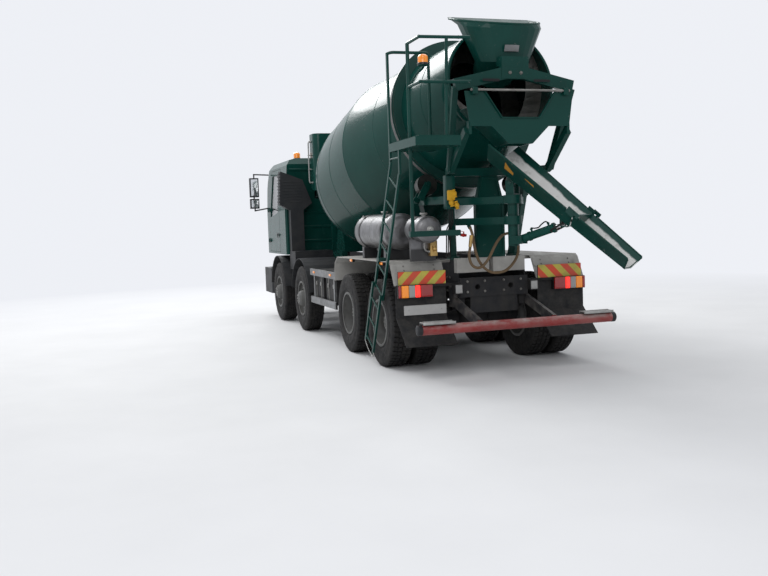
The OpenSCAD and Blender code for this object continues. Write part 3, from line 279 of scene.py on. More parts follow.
class Graph:
    """Node tree of one finish."""

    def __init__(self):
        self.material = bpy.data.materials.new("finish")
        self.material.use_nodes = True
        self.tree = self.material.node_tree
        self.shader = self.tree.nodes["Principled BSDF"]
        self.where = self.node("ShaderNodeTexCoord").outputs["Object"]

    def node(self, kind, inputs=None, **props):
        n = self.tree.nodes.new(kind)
        for key, value in props.items():
            setattr(n, key, value)
        for key, value in (inputs or {}).items():
            self.set(n.inputs[key], value)
        return n

    def set(self, socket, value):
        if isinstance(value, bpy.types.NodeSocket):
            self.tree.links.new(value, socket)
        else:
            socket.default_value = value

    def noise(self, scale, detail=4.0, rough=0.55, stretch=(1, 1, 1)):
        v = self.where
        if stretch != (1, 1, 1):
            v = self.node("ShaderNodeMapping", {"Vector": v, "Scale": stretch}).outputs[0]
        n = self.node("ShaderNodeTexNoise", {"Vector": v, "Scale": scale, "Detail": detail,
            "Roughness": rough})
        return n.outputs[0]

    def band(self, value, low, high, start=0.0, end=1.0):
        """Runs from start to end while value goes from low to high."""
        n = self.node("ShaderNodeMapRange", {0: value, 1: low, 2: high, 3: start, 4: end}, clamp=True)
        return n.outputs[0]

    def mix(self, share, a, b):
        n = self.node("ShaderNodeMix", data_type="RGBA")
        self.set(n.inputs[0], share)
        self.set(n.inputs[6], a)
        self.set(n.inputs[7], b)
        return n.outputs[2]

    def patches(self, scale, detail, colour, dark, light):
        """Cloudy patches between a darker and a lighter shade of the colour."""
        return self.mix(self.band(self.noise(scale, detail), 0.35, 0.7), shade(colour, dark),
            shade(colour, light))

    def math(self, how, a, b=0.0):
        return self.node("ShaderNodeMath", {0: a, 1: b}, operation=how).outputs[0]

    def times(self, a, b):
        return self.math("MULTIPLY", a, b)

    def along(self, vector, way):
        """Share of a vector that points along the given way."""
        return self.node("ShaderNodeVectorMath", {0: vector, 1: way},
            operation="DOT_PRODUCT").outputs["Value"]

    def axes(self):
        """The three coordinates of the place."""
        return self.node("ShaderNodeSeparateXYZ", {0: self.where}).outputs

    def normal(self):
        return self.node("ShaderNodeTexCoord").outputs["Normal"]

    def height(self):
        return self.axes()[2]

    def upness(self):
        return self.node("ShaderNodeSeparateXYZ", {0: self.normal()}).outputs[2]

    def bump(self, value, depth, strength=1.0):
        n = self.node("ShaderNodeBump", {"Height": value, "Distance": depth, "Strength": strength})
        self.put("Normal", n.outputs[0])

    def put(self, socket, value):
        """A number, a colour or another node's output, given to the shader's socket."""
        self.set(self.shader.inputs[socket], value)

    def skin(self, colour, rough):
        self.put("Base Color", colour)
        self.put("Roughness", rough)


def shade(colour, k=1.0):
    """The colour made k times as bright, with full cover as its fourth value."""
    return (*[min(1.0, float(c) * k) for c in tuple(colour)[:3]], 1.0)


def painted(colour, gloss=0.3, grime=0.5, chips=0.35, splash=0.0, coat=0.0, film=(0.1, 0.093, 0.08),
        gleam=0.12):
    """Paint over steel: patches of fade, road grime that thickens towards the ground and on ledges, chips
    down to primer."""
    g = Graph()
    fade = g.patches(1.3, 5, colour, 0.86, 1.14)
    low = g.band(g.height(), 0.3, 2.2, 0.62, 0.12)
    dust = g.times(g.band(g.noise(5.5, 8, 0.65), 0.36, 0.72), low)
    ledge = g.times(g.band(g.upness(), 0.5, 1.0, 0.0, 0.35), g.band(g.noise(9, 6), 0.4, 0.62))
    dirt = g.times(g.math("ADD", dust, ledge), grime)
    mixed = g.mix(dirt, fade, shade(film))
    streaks = g.band(g.noise(9, 3, 0.5, (1, 1, 0.12)), 0.58, 0.75, 0.0, 0.5 * grime)
    mixed = g.mix(streaks, mixed, shade(film, 0.6))
    worn = g.band(g.noise(42, 6, 0.7), 0.74 - 0.12 * chips, 0.76 - 0.12 * chips, 0.0, 1.0)
    worn = g.times(worn, g.band(g.noise(2.2, 3), 0.5, 0.62))
    mixed = g.mix(worn, mixed, shade(film, 0.8))
    if splash:
        cement = g.band(g.noise(26, 7, 0.72), 0.66 - 0.16 * splash, 0.7 - 0.16 * splash)
        cement = g.times(cement, g.band(g.noise(3.1, 4), 0.42, 0.6))
        mixed = g.mix(cement, mixed, (0.2, 0.2, 0.19, 1))
        g.bump(cement, 0.0015, 0.7)
    else:
        g.bump(g.noise(60, 3), 0.0002, 0.08)
    g.skin(mixed, g.band(dirt, 0.0, 0.5, gloss, min(0.9, gloss + 0.45)))
    g.put("Specular IOR Level", gleam)
    if coat:
        g.put("Coat Weight", coat)
        g.put("Coat Roughness", 0.05)
    return g.material


def ring_paint(paint):
    """Roller track: painted sides, and a tread, where the face looks away from the drum's axis, rolled to
    dark steel."""
    g = Graph()
    along = g.along(g.normal(), (-math.cos(DRUM_TILT), 0.0, math.sin(DRUM_TILT)))
    side = g.band(g.math("ABSOLUTE", along), 0.4, 0.5)
    steel = g.mix(g.band(g.noise(12, 6), 0.4, 0.7), (0.075, 0.075, 0.07, 1), (0.035, 0.033, 0.03, 1))
    skin = g.patches(4, 6, paint, 0.8, 1.15)
    g.skin(g.mix(side, steel, skin), 0.35)
    g.put("Specular IOR Level", 0.3)
    return g.material


def tank_skin_dark_reflection(colour):
    """Air tanks: satin metal shells whose colour is darkened as a painted reflection of dark surroundings,
    and dark straps and feet, told apart by their places along the truck and their height."""
    g = Graph()
    xyz = g.axes()
    dark = g.band(xyz[2], 1.41, 1.43, 1.0, 0.0)
    for x, half in ((0.0, 0.026), (0.9, 0.026), (-0.635, 0.021)):
        off = g.math("ABSOLUTE", g.math("SUBTRACT", xyz[0], LAST_AXLE + x))
        dark = g.math("MAXIMUM", dark, g.band(off, half, half + 0.001, 1.0, 0.0))
    # Shell colour kept dark: the metal's tone plus a painted reflection of dark surroundings
    shell = g.patches(7, 6, colour, 0.75, 1.1)
    shell = g.mix(g.band(g.noise(5, 8, 0.65), 0.48, 0.72, 0.0, 0.6), shell, (0.07, 0.066, 0.06, 1))
    g.skin(g.mix(dark, shell, (0.02, 0.02, 0.021, 1)), g.band(g.noise(15, 5), 0.3, 0.7, 0.3, 0.5))
    g.put("Metallic", g.band(dark, 0.0, 1.0, 0.9, 0.0))
    g.bump(g.noise(140, 3), 0.0002, 0.4)
    return g.material


def bare_metal(colour, rough=0.35, grime=0.4, brushed=False):
    """Unpainted metal: satin patches, fine scratches along one way and dull grime."""
    g = Graph()
    patch = g.patches(7, 6, colour, 0.82, 1.1)
    dirt = g.times(g.band(g.noise(4, 8, 0.65), 0.45, 0.72), grime)
    g.skin(g.mix(dirt, patch, (0.13, 0.12, 0.105, 1)),
        g.band(g.noise(15, 5), 0.3, 0.7, rough * 0.8, min(0.95, rough * 1.5)))
    g.put("Metallic", 0.9)
    g.bump(g.noise(140, 3, 0.5, (1, 12, 12) if brushed else (1, 1, 1)), 0.0002, 0.4)
    return g.material


def plastic(colour, rough=0.5, dusty=0.4, grain=0.0003):
    """Moulded plastic: fine grain and a film of dust."""
    g = Graph()
    dirt = g.times(g.band(g.noise(4.5, 8, 0.65), 0.38, 0.7),
        g.band(g.height(), 0.3, 2.6, dusty, dusty * 0.35))
    g.skin(g.mix(dirt, shade(colour), (0.085, 0.08, 0.07, 1)), g.band(dirt, 0.0, 0.4, rough, 0.85))
    g.put("Specular IOR Level", 0.3)
    g.bump(g.noise(420, 2), grain, 0.5)
    return g.material


def rubber(colour, dusty=0.55):
    """Tyre and flap rubber: matt black with a fine grain and a brown road film."""
    g = Graph()
    dirt = g.times(g.band(g.noise(8, 9, 0.7), 0.35, 0.7), dusty)
    g.skin(g.mix(dirt, shade(colour), (0.09, 0.083, 0.072, 1)), g.band(g.noise(20, 4), 0.3, 0.7, 0.62, 0.9))
    g.put("Specular IOR Level", 0.2)
    g.bump(g.noise(170, 5), 0.0004, 0.5)
    return g.material


def lens(colour, rough=0.12, glow=0.0):
    """Lamp glass: deep coloured plastic with fine upright ribs."""
    g = Graph()
    ribs = g.node("ShaderNodeTexWave", {"Vector": g.where, "Scale": 38.0, "Distortion": 0.0},
        bands_direction="Y").outputs["Fac"]
    g.skin(g.mix(g.band(ribs, 0.1, 0.9, 0.0, 0.35), shade(colour), shade(colour, 0.55)), rough)
    g.bump(ribs, 0.0008, 0.5)
    g.put("Coat Weight", 0.6)
    if glow:
        g.put("Emission Color", shade(colour))
        g.put("Emission Strength", glow)
    return g.material


def glazing():
    """Tinted cab glass."""
    g = Graph()
    g.skin((0.02, 0.03, 0.03, 1), g.band(g.noise(3, 4), 0.3, 0.7, 0.03, 0.1))
    g.put("Alpha", 0.55)
    g.put("Coat Weight", 1.0)
    g.material.surface_render_method = "BLENDED"
    return g.material


def chevrons(warm, light):
    """Slanting warning bands, stepped by height plus distance outward, so that both sides mirror each
    other."""
    g = Graph()
    xyz = g.axes()
    out = g.math("ABSOLUTE", xyz[1])
    phase = g.math("FRACT", g.times(g.math("ADD", out, xyz[2]), 1 / 0.205))
    stripe = g.band(phase, 0.5, 0.508)
    base = g.mix(stripe, shade(warm), shade(light))
    dirt = g.band(g.noise(8, 8, 0.7), 0.42, 0.72, 0.0, 0.45)
    g.skin(g.mix(dirt, base, (0.13, 0.11, 0.09, 1)), 0.42)
    g.bump(g.noise(300, 2), 0.0001, 0.3)
    return g.material


def lined_chute(outside, inside):
    """Chute: paint outside, and inside, where the surface faces up, pale paint scraped to steel with
    dried cement."""
    g = Graph()
    skin = g.patches(2.1, 5, outside, 0.8, 1.2)
    skin = g.mix(g.band(g.noise(19, 8, 0.7), 0.64, 0.68, 0.0, 0.6), skin, (0.2, 0.2, 0.19, 1))
    pale = g.patches(3, 5, inside, 0.82, 1.0)
    pale = g.mix(g.band(g.noise(8, 8, 0.68), 0.56, 0.66, 0.0, 0.6), pale, (0.34, 0.33, 0.31, 1))
    pale = g.mix(g.band(g.noise(15, 8, 0.7), 0.66, 0.72, 0.0, 0.5), pale, (0.17, 0.085, 0.04, 1))
    normal = slope_axes()[:, 2]
    rise = g.along(g.where, normal.tolist())
    rim = float(truck(on_slope((0, 0, 0))) @ normal)
    scraped = g.band(g.math("ADD", rise, g.times(g.noise(6, 6), 0.05)), rim - 0.035, rim - 0.02, 1.0, 0.0)
    open_side = g.times(g.band(g.upness(), 0.1, 0.16), scraped)
    g.skin(g.mix(open_side, skin, pale), g.band(open_side, 0.0, 1.0, 0.3, 0.5))
    g.put("Specular IOR Level", 0.3)
    g.bump(g.noise(30, 6), 0.0008, 0.4)
    return g.material


def bar_paint(red, arm):
    """Underrun bar: worn red tube behind the arms, with the red rubbed to grey on top, and dark arms."""
    g = Graph()
    xyz = g.axes()
    tube = g.times(g.band(xyz[0], LAST_AXLE - 1.282, LAST_AXLE - 1.28, 1.0, 0.0),
        g.band(xyz[2], 0.634, 0.636, 1.0, 0.0))
    base = g.patches(3, 5, red, 0.75, 1.1)
    rub = g.times(g.band(g.upness(), 0.0, 0.6, 0.2, 0.95),
        g.band(g.noise(6, 8, 0.7, (1, 0.5, 1)), 0.4, 0.62))
    base = g.mix(rub, base, (0.33, 0.27, 0.25, 1))
    steel = g.mix(g.band(g.noise(9, 6), 0.4, 0.7), shade(arm), (0.12, 0.11, 0.1, 1))
    g.skin(g.mix(tube, steel, base), 0.5)
    g.bump(g.noise(40, 5), 0.0006, 0.4)
    return g.material


FINISH = {}


def finish(name):
    """The named finish, made the first time it is asked for."""
    if name not in FINISH:
        c = bpy.context.scene.mixer_colours
        wet = (0.014, 0.04, 0.035)
        makers = {
            "green": lambda: painted(c.body_green, 0.24, 0.2, 0.3, coat=0.15, film=wet),
            "green_drum": lambda: painted(c.body_green, 0.2, 0.15, 0.1, splash=0.03, coat=0.12, film=wet,
                gleam=0.04),
            "green_rear": lambda: painted(c.body_green, 0.3, 0.3, 0.4, splash=0.05, coat=0.1, film=wet),
            "guard_white": lambda: painted(c.guard_white, 0.4, 0.75, 0.4),
            "frame_grey": lambda: painted(c.frame_grey, 0.55, 0.5, 0.4),
            "box_black": lambda: painted(c.box_black, 0.45, 0.45, 0.3),
            "bar_red": lambda: bar_paint(c.bar_red, c.frame_grey),
            "rim": lambda: painted(c.rim_grey, 0.45, 0.9, 0.4),
            "cylinder_green": lambda: painted(shade(c.body_green, 1.3), 0.3, 0.3, 0.4, film=wet),
            "edge_worn": lambda: painted(c.body_green, 0.35, 0.4, 0.9, splash=0.2),
            "deck_steel": lambda: painted(c.body_green, 0.5, 0.5, 0.9, splash=0.1),
            "ring": lambda: ring_paint(c.body_green),
            "greased": lambda: bare_metal((0.055, 0.056, 0.052), 0.32, 0.6),
            "plate_white": lambda: painted((0.5, 0.5, 0.49), 0.35, 0.35, 0.1),
            "amber_band": lambda: painted((0.42, 0.2, 0.03), 0.45, 0.6, 0.5),
            # Darker than real aluminium: the metal's tone plus a painted reflection of dark surroundings
            "aluminium": lambda: bare_metal((0.22, 0.225, 0.23), 0.42, 0.6),
            # Tank shells darker than real metal: a painted reflection of dark surroundings
            "tank_skin_dark_reflection": lambda: tank_skin_dark_reflection((0.2, 0.2, 0.205)),
            "chrome": lambda: bare_metal((0.75, 0.75, 0.76), 0.12, 0.15),
            "steel": lambda: bare_metal((0.24, 0.235, 0.22), 0.5, 0.8),
            "brass": lambda: bare_metal((0.5, 0.33, 0.12), 0.35, 0.4),
            "zinc": lambda: bare_metal((0.4, 0.4, 0.385), 0.45, 0.6),
            "plastic": lambda: plastic(c.plastic_grey, dusty=0.25),
            "cab_trim": lambda: plastic((0.035, 0.035, 0.04), 0.6, 0.15),
            "black_gloss": lambda: plastic((0.012, 0.012, 0.013), 0.25, 0.2, 0.0001),
            "tyre": lambda: rubber((0.011, 0.011, 0.012), 0.25),
            "flap": lambda: rubber((0.016, 0.017, 0.019), 0.4),
            "hose": lambda: rubber((0.15, 0.1, 0.055), 0.3),
            "cable": lambda: rubber((0.012, 0.012, 0.013), 0.25),
            "chute": lambda: lined_chute(c.body_green, (0.66, 0.66, 0.64)),
            "glass": glazing,
            "mirror": lambda: bare_metal((0.7, 0.72, 0.74), 0.05, 0.1),
            "amber": lambda: lens((0.85, 0.25, 0.01), glow=0.25),
            "red_lens": lambda: lens((0.3, 0.006, 0.006), glow=0.05),
            "red_lit": lambda: lens((0.9, 0.02, 0.01), glow=1.2),
            "clear_lens": lambda: lens((0.32, 0.32, 0.31)),
            "chevron": lambda: chevrons((0.66, 0.06, 0.015), (0.52, 0.45, 0.06)),
            "yellow": lambda: painted((0.55, 0.3, 0.02), 0.4, 0.5, 0.4),
            "red": lambda: painted((0.4, 0.02, 0.015), 0.35, 0.4, 0.3),
        }
        FINISH[name] = makers[name]()
        FINISH[name].name = name
    return FINISH[name]


CAD_FINISH = {
    "frame_grey": ["chassis_frame", "driveline", "front_axles", "rear_axles"]
    + [f"knuckle_{i}_{s}" for i in (1, 2) for s in SIDES],
    "plastic": ["front_bumper", "cab_fenders", "mirrors"],
    "guard_white": ["rear_mudguards"],
    "flap": ["mudflaps"],
    "aluminium": ["side_guards"],
    "tank_skin_dark_reflection": ["side_tanks"],
    "box_black": ["tanks_boxes", "rear_lights"],
    "bar_red": ["underrun_bar"],
    "green": ["front_pedestal", "water_tank", "cab_shell", "door_left", "door_right"],
    "green_rear": ["rear_pedestal", "discharge_trough", "platform", "ladder_upper", "ladder_lower",
        "hopper", "centre_column", "chute_swivel"],
    "green_drum": ["drum_shell"],
    "steel": ["drum_blades"],
    "ring": ["track_ring"],
    "greased": ["roller_left", "roller_right"],
    "brass": ["hose_nozzle"],
    "cylinder_green": ["chute_barrel"],
    "chrome": ["chute_rod"],
    "chute": ["chute_main", "chute_extension"],
    "cab_trim": ["cab_interior"],
    "glass": ["cab_glass"],
    "rim": [f"wheel_{i}_{s}" for i in (1, 2, 3, 4) for s in SIDES],
    "tyre": [f"tyre_{i}_{s}" for i in (1, 2) for s in SIDES] + [f"tyres_{i}_{s}" for i in (3, 4)
        for s in SIDES],
    "hose": ["water_hose"],
}


# Settings


def colour_prop(name, about, default):
    return FloatVectorProperty(name=name, description=about, subtype="COLOR", size=3, min=0, max=1,
        default=default)


def length_prop(name, about, default):
    return FloatProperty(name=name, description=about, subtype="DISTANCE", unit="LENGTH", min=0,
        default=default)


class MixerColours(bpy.types.PropertyGroup):
    """Paints and plastics of the truck."""

    body_green: colour_prop("Body green", "Paint of the drum, cab and rear frame", (0.0035, 0.043, 0.034))
    guard_white: colour_prop("Guard white", "Paint of the mudguards and of the chute's inside",
        (0.44, 0.43, 0.405))
    frame_grey: colour_prop("Frame grey", "Paint of the chassis frame and axles", (0.02, 0.021, 0.024))
    box_black: colour_prop("Box black", "Paint of the boxes on the frame", (0.014, 0.0145, 0.016))
    bar_red: colour_prop("Bar red", "Paint of the underrun bar", (0.27, 0.018, 0.016))
    rim_grey: colour_prop("Rim grey", "Paint of the wheels", (0.15, 0.152, 0.15))
    plastic_grey: colour_prop("Plastic grey", "Moulded plastic of bumper and fenders",
        (0.014, 0.0155, 0.018))


class MixerSizes(bpy.types.PropertyGroup):
    """Sizes of the fittings."""

    tread_depth: length_prop("Tread depth", "Depth of the grooves in the tyres", 0.013)
    lugs: IntProperty(name="Lugs", description="Tread blocks round a tyre", min=20, max=80, default=52)
    nut_r: length_prop("Nut radius", "Radius of a wheel nut", 0.018)
    nut_circle: length_prop("Nut circle", "Radius of the circle of wheel nuts", 0.1675)


# Stage
BACKDROP, SEEN_STRENGTH = (0.93, 0.95, 1.0), 0.92


class MIXER_OT_stage(bpy.types.Operator):
    """Makes the camera at the photographer's place, the pale floor and the soft lights"""

    bl_idname = "mixer.stage"
    bl_label = "Stage"

    def floor_finish(self):
        """Pale floor whose far part glows like the backdrop, so that no horizon line shows."""
        g = Graph()
        xyz = g.axes()
        reach = g.math("SQRT", g.math("ADD", g.times(xyz[0], xyz[0]), g.times(xyz[1], xyz[1])))
        far = g.band(reach, 6.0, 15.0)
        near = g.mix(g.band(g.noise(0.8, 6), 0.3, 0.7), (0.66, 0.665, 0.67, 1), (0.7, 0.705, 0.71, 1))
        g.put("Base Color", g.mix(far, near, (0, 0, 0, 1)))
        g.put("Emission Color", g.mix(far, (0, 0, 0, 1), shade(BACKDROP, SEEN_STRENGTH)))
        g.put("Emission Strength", 1.0)
        g.put("Specular IOR Level", 0.0)
        g.put("Roughness", 0.9)
        g.material.name = "floor"
        return g.material

    def execute(self, context):
        scene = context.scene
        cam = bpy.data.cameras.new("camera")
        cam.sensor_width, cam.lens = 36.0, 42.32
        cam.clip_end = 200
        obj = bpy.data.objects.new("camera", cam)
        scene.collection.objects.link(obj)
        yaw, pitch, roll = -0.3098, -0.0733, -0.0342
        ahead = Vector((math.cos(yaw) * math.cos(pitch), math.sin(yaw) * math.cos(pitch), math.sin(pitch)))
        right = ahead.cross(Vector((0, 0, 1))).normalized()
        top = right.cross(ahead)
        across = right * math.cos(roll) + top * math.sin(roll)
        up = -right * math.sin(roll) + top * math.cos(roll)
        turn = Matrix((across, up, -ahead)).transposed().to_4x4()
        obj.matrix_world = Matrix.Translation((-10.33 + LAST_AXLE, 4.432, 1.744)) @ turn
        scene.camera = obj

        floor = Form()
        span = np.linspace(-60, 60, 3)
        floor.lattice(points_at(span[:, None], span, 0))
        mesh = bpy.data.meshes.new("floor")
        mesh.from_pydata(np.concatenate(floor.points).tolist(), [], [f[::-1] for f in floor.faces])
        ground = bpy.data.objects.new("floor", mesh)
        scene.collection.objects.link(ground)
        mesh.materials.append(self.floor_finish())

        world = bpy.data.worlds.new("studio")
        scene.world = world
        world.use_nodes = True
        tree = world.node_tree
        back = tree.nodes["Background"]
        path = tree.nodes.new("ShaderNodeLightPath")
        seen, through = (tree.nodes.new("ShaderNodeMath") for _ in range(2))
        seen.operation = through.operation = "MAXIMUM"
        for source, target in (("Is Camera Ray", seen.inputs[0]), ("Is Glossy Ray", through.inputs[0]),
                ("Is Transmission Ray", through.inputs[1])):
            tree.links.new(path.outputs[source], target)
        tree.links.new(through.outputs[0], seen.inputs[1])
        strength = tree.nodes.new("ShaderNodeMapRange")
        tree.links.new(seen.outputs[0], strength.inputs[0])
        strength.inputs[3].default_value = 0.55
        strength.inputs[4].default_value = SEEN_STRENGTH
        tree.links.new(strength.outputs[0], back.inputs["Strength"])
        back.inputs["Color"].default_value = shade(BACKDROP)

        for name, place, aim, size, watts in (
            ("sky_front", (21.5, 3.5, 17), (0, 0, 2.4), (16, 9), 5200),
            ("top_strip", (0.5, 6.5, 11), (0.5, 0, 2), (9, 3), 450),
            ("top_light", (0, -4, 12), (0, 0, 0), (12, 8), 350),
            ("rear_light", (-14, 6, 7), (-2, 0, 1.5), (7, 5), 380),
        ):
            light = bpy.data.lights.new(name, "AREA")
            light.shape, light.energy = "RECTANGLE", watts
            light.size, light.size_y = size
            lamp = bpy.data.objects.new(name, light)
            scene.collection.objects.link(lamp)
            lamp.location = place
            lamp.rotation_euler = (Vector(aim) - Vector(place)).to_track_quat("-Z", "Y").to_euler()
        scene.view_settings.view_transform = "Standard"
        return {"FINISHED"}


# Water hose: the points of its middle line, in millimetres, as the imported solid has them
HOSE_ROUTE = [
    [-760, 310, 1640], [-800, 318, 1625], [-850, 322, 1570], [-872, 318, 1480], [-880, 300, 1370],
    [-884, 262, 1262], [-888, 200, 1180], [-890, 120, 1130], [-890, 30, 1118], [-888, -70, 1140],
    [-884, -160, 1210], [-880, -225, 1310], [-878, -240, 1420], [-880, -205, 1510], [-884, -130, 1560],
    [-890, -40, 1545], [-897, 30, 1480], [-903, 90, 1390], [-910, 150, 1290], [-918, 225, 1210],
    [-926, 300, 1185], [-934, 372, 1225], [-940, 405, 1320], [-944, 392, 1430],
]
HOSE_R = 0.016


class MIXER_OT_hose(bpy.types.Operator):
    """Makes the wash-down hose that hangs in loops at the rear of the frame"""

    bl_idname = "mixer.hose"
    bl_label = "Water hose"

    def execute(self, context):
        path = smooth_path(np.array(HOSE_ROUTE) / 1000.0, 120)
        form = Form()
        form.tube(path, HOSE_R, 12, up=(1, 0.2, 0.1))
        hose = piece("hose_tube", form, "hose", "chassis", stands_for=["water_hose"])
        path = truck(path)
        return {"FINISHED"}


class MIXER_OT_finishes(bpy.types.Operator):
    """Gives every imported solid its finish"""

    bl_idname = "mixer.finishes"
    bl_label = "Finishes"

    def execute(self, context):
        for name, nodes in CAD_FINISH.items():
            for node in nodes:
                mesh = NODES[node].data
                mesh.materials.clear()
                mesh.materials.append(finish(name))
        return {"FINISHED"}


def tyre_surface(form, y0, y1, base, out, sizes, drive):
    """One tyre: the section (r, y) turned round the axle, its tread pressed in by the groove depth where
    the rib number and the angle step fall in a groove. Ribs are parted by rings and cut across at
    staggered steps."""
    t = y1 - y0
    wall = [(0.0005, 0.05), (0.0005, 0.025), (0.012, 0.017), (0.02, 0.0185), (0.032, 0.012), (0.05, 0.0065),
        (0.075, 0.002), (0.1, 0.0), (0.125, 0.0), (0.13, 0.003), (0.155, 0.003)]
    shoulder = [(0.06, 0.009), (0.052, 0.0075), (0.03, 0.015), (0.012, 0.024)]
    side = [(BEAD_R + r, y) for r, y in wall] + [(TYRE_R - r, y) for r, y in shoulder]
    ribs = 5 if not drive else 4
    low, high, gap = 0.034, t - 0.034, 0.011
    width = (high - low - gap * (ribs - 1)) / ribs
    crown, mark = [], []
    for k in range(ribs):
        a = low + k * (width + gap)
        crown += [a, a + 0.0008, a + width - 0.0008, a + width]
        mark += [-1, k, k, -1]
    crown, mark = np.array(crown), np.array(mark)
    arc = 0.006 * ((crown - t / 2) / (t / 2)) ** 2
    side_r, side_y = np.array(side).T
    r = np.concatenate([side_r, TYRE_R - arc, side_r[::-1], [BEAD_R + 0.02] * 2])
    y = np.concatenate([side_y, crown, t - side_y[::-1], [t - 0.07, 0.07]])
    n = sizes.lugs
    step = np.array([0.0, 0.09, 0.13, 0.5, 0.87, 0.91]) if drive else np.array([0.0, 0.4, 0.47, 0.53, 0.6])
    cut = np.array([1, 1, 0, 0, 0, 1]) if drive else np.array([0, 0, 1, 0, 0])
    a = ((np.arange(n)[:, None] + step[None]) / n * 2 * math.pi).ravel()
    cut = np.tile(cut, n)
    depth = np.zeros((len(r), len(a)))
    first = len(side)
    shift = np.zeros((len(r), len(a)))
    zig = 0.1 if drive else 0.28
    for i, m in enumerate(mark):
        row = first + i
        if m < 0:
            depth[row] = sizes.tread_depth
        else:
            inner = 0 < m < ribs - 1
            depth[row] = cut * sizes.tread_depth * (1.0 if drive else (0.5 if inner else 0.35))
        shift[row] = (zig if (i // 4) % 2 else -zig) * 2 * math.pi / n * (0.5 + (i % 4) / 3 * 0.6)
    depth[first] = depth[first + 1]
    depth[first + len(crown) - 1] = depth[first + len(crown) - 2]
    radius = r[:, None] - depth
    angle = a[None] + shift
    p = points_at(radius * np.sin(angle), out * (y0 + y)[:, None], radius * np.cos(angle))
    form.lattice(p + base, wrap_u=True, wrap_v=True)


class MIXER_OT_tyres(bpy.types.Operator):
    """Makes the ribbed front tyres and the blocked rear tyres"""

    bl_idname = "mixer.tyres"
    bl_label = "Tyres"

    def execute(self, context):
        sizes = context.scene.mixer_sizes
        for i, axle in enumerate(AXLES, 1):
            for side, out in SIDES.items():
                twin = i > 2
                node = f"tyres_{i}_{side}" if twin else f"tyre_{i}_{side}"
                base = (axle, 0, WHEEL_Z)
                form = Form()
                tyre_surface(form, TRACK_HALF - TYRE_W, TRACK_HALF, base, out, sizes, twin)
                if twin:
                    inner = TRACK_HALF - 2 * TYRE_W - 0.045
                    tyre_surface(form, inner, inner + TYRE_W, base, out, sizes, twin)
                piece(f"tread_{i}_{side}", form, "tyre", f"wheel_{i}_{side}", 30, [node])
        return {"FINISHED"}


class MIXER_OT_wheel_nuts(bpy.types.Operator):
    """Puts nuts, studs and the hub's small bolts on every wheel"""

    bl_idname = "mixer.wheel_nuts"
    bl_label = "Wheel nuts"

    def execute(self, context):
        sizes = context.scene.mixer_sizes
        for i, axle in enumerate(AXLES, 1):
            face = TRACK_HALF - (0.093 if i < 3 else TYRE_W + 0.002)
            for side, out in SIDES.items():
                form = Form()
                cap = TRACK_HALF + (0.04 if i < 3 else -TYRE_W + 0.185)
                for a, r, y, size, tall in (
                    (turns(10) + math.pi / 10, sizes.nut_circle, face, sizes.nut_r, 0.03),
                    (turns(8), 0.065, cap, 0.009, 0.009),
                ):
                    spots = points_at(axle + r * np.sin(a), out * y, WHEEL_Z + r * np.cos(a))
                    form.stamped(nut(size, tall), spots, (0, out, 0))
                piece(f"nuts_{i}_{side}", form, "zinc", f"wheel_{i}_{side}")
        return {"FINISHED"}


# Two directions of each face, whose cross product points out of it
REAR, FRONT, UP = ((0, -1, 0), (0, 0, 1)), ((0, 1, 0), (0, 0, 1)), ((1, 0, 0), (0, 1, 0))
LEFT, RIGHT = ((-1, 0, 0), (0, 0, 1)), ((1, 0, 0), (0, 0, 1))


def outward(out):
    """Face directions of the truck's left side, or of its right side."""
    return LEFT if out > 0 else RIGHT


def slope_axes():
    """Turn from the chute's own axes (out along the rims, across, square to both) to the truck's."""
    c, s = math.cos(CHUTE_SLOPE), math.sin(CHUTE_SLOPE)
    tilt = np.array([[c, 0, s], [0, 1, 0], [-s, 0, c]])
    c, s = -math.cos(CHUTE_TURN), -math.sin(CHUTE_TURN)
    return np.array([[c, -s, 0], [s, c, 0], [0, 0, 1]]) @ tilt


def on_slope(points):
    """Points of the chute's own axes, counted from above the swivel on the line of the rims."""
    return np.asarray(points, float) @ slope_axes().T + (SWIVEL_X, 0, HEAD_RIM_Z)


def drum_point(s, a, r):
    """Point of the drum at the distance s along its axis, the angle a round it and the radius r."""
    c, k = math.cos(DRUM_TILT), math.sin(DRUM_TILT)
    along = np.array([-c, 0, k])
    top = np.array([k, 0, c])
    across = np.array([0, 1, 0])
    return DRUM_FRONT + points_at(s, r * np.cos(a), r * np.sin(a)) @ np.stack([along, top, across])


def drum_radius(s):
    """Radius along the drum: a quarter sine over the dome, level over the middle, then straight to the
    mouth."""
    s = np.asarray(s, float)
    dome = DRUM_FRONT_R + (DRUM_R - DRUM_FRONT_R) * np.sin(np.pi / 2 * np.clip(s / DOME_LEN, 0, 1))
    cone = DRUM_R - (DRUM_R - MOUTH_R) * (s - CONE_START) / (DRUM_LEN - CONE_START)
    return np.where(s < DOME_LEN, dome, np.where(s < CONE_START, DRUM_R, cone))


def bar_rows(count, cell, bar, edge=0.0006):
    """Places and marks of parallel bars: each cell starts with a raised stretch as wide as the bar."""
    start = np.arange(count)[:, None] * cell
    places = (start + np.array([0, edge, bar - edge, bar])).ravel()
    marks = np.tile([0.0, 1.0, 1.0, 0.0], count)
    return places - places[0], marks


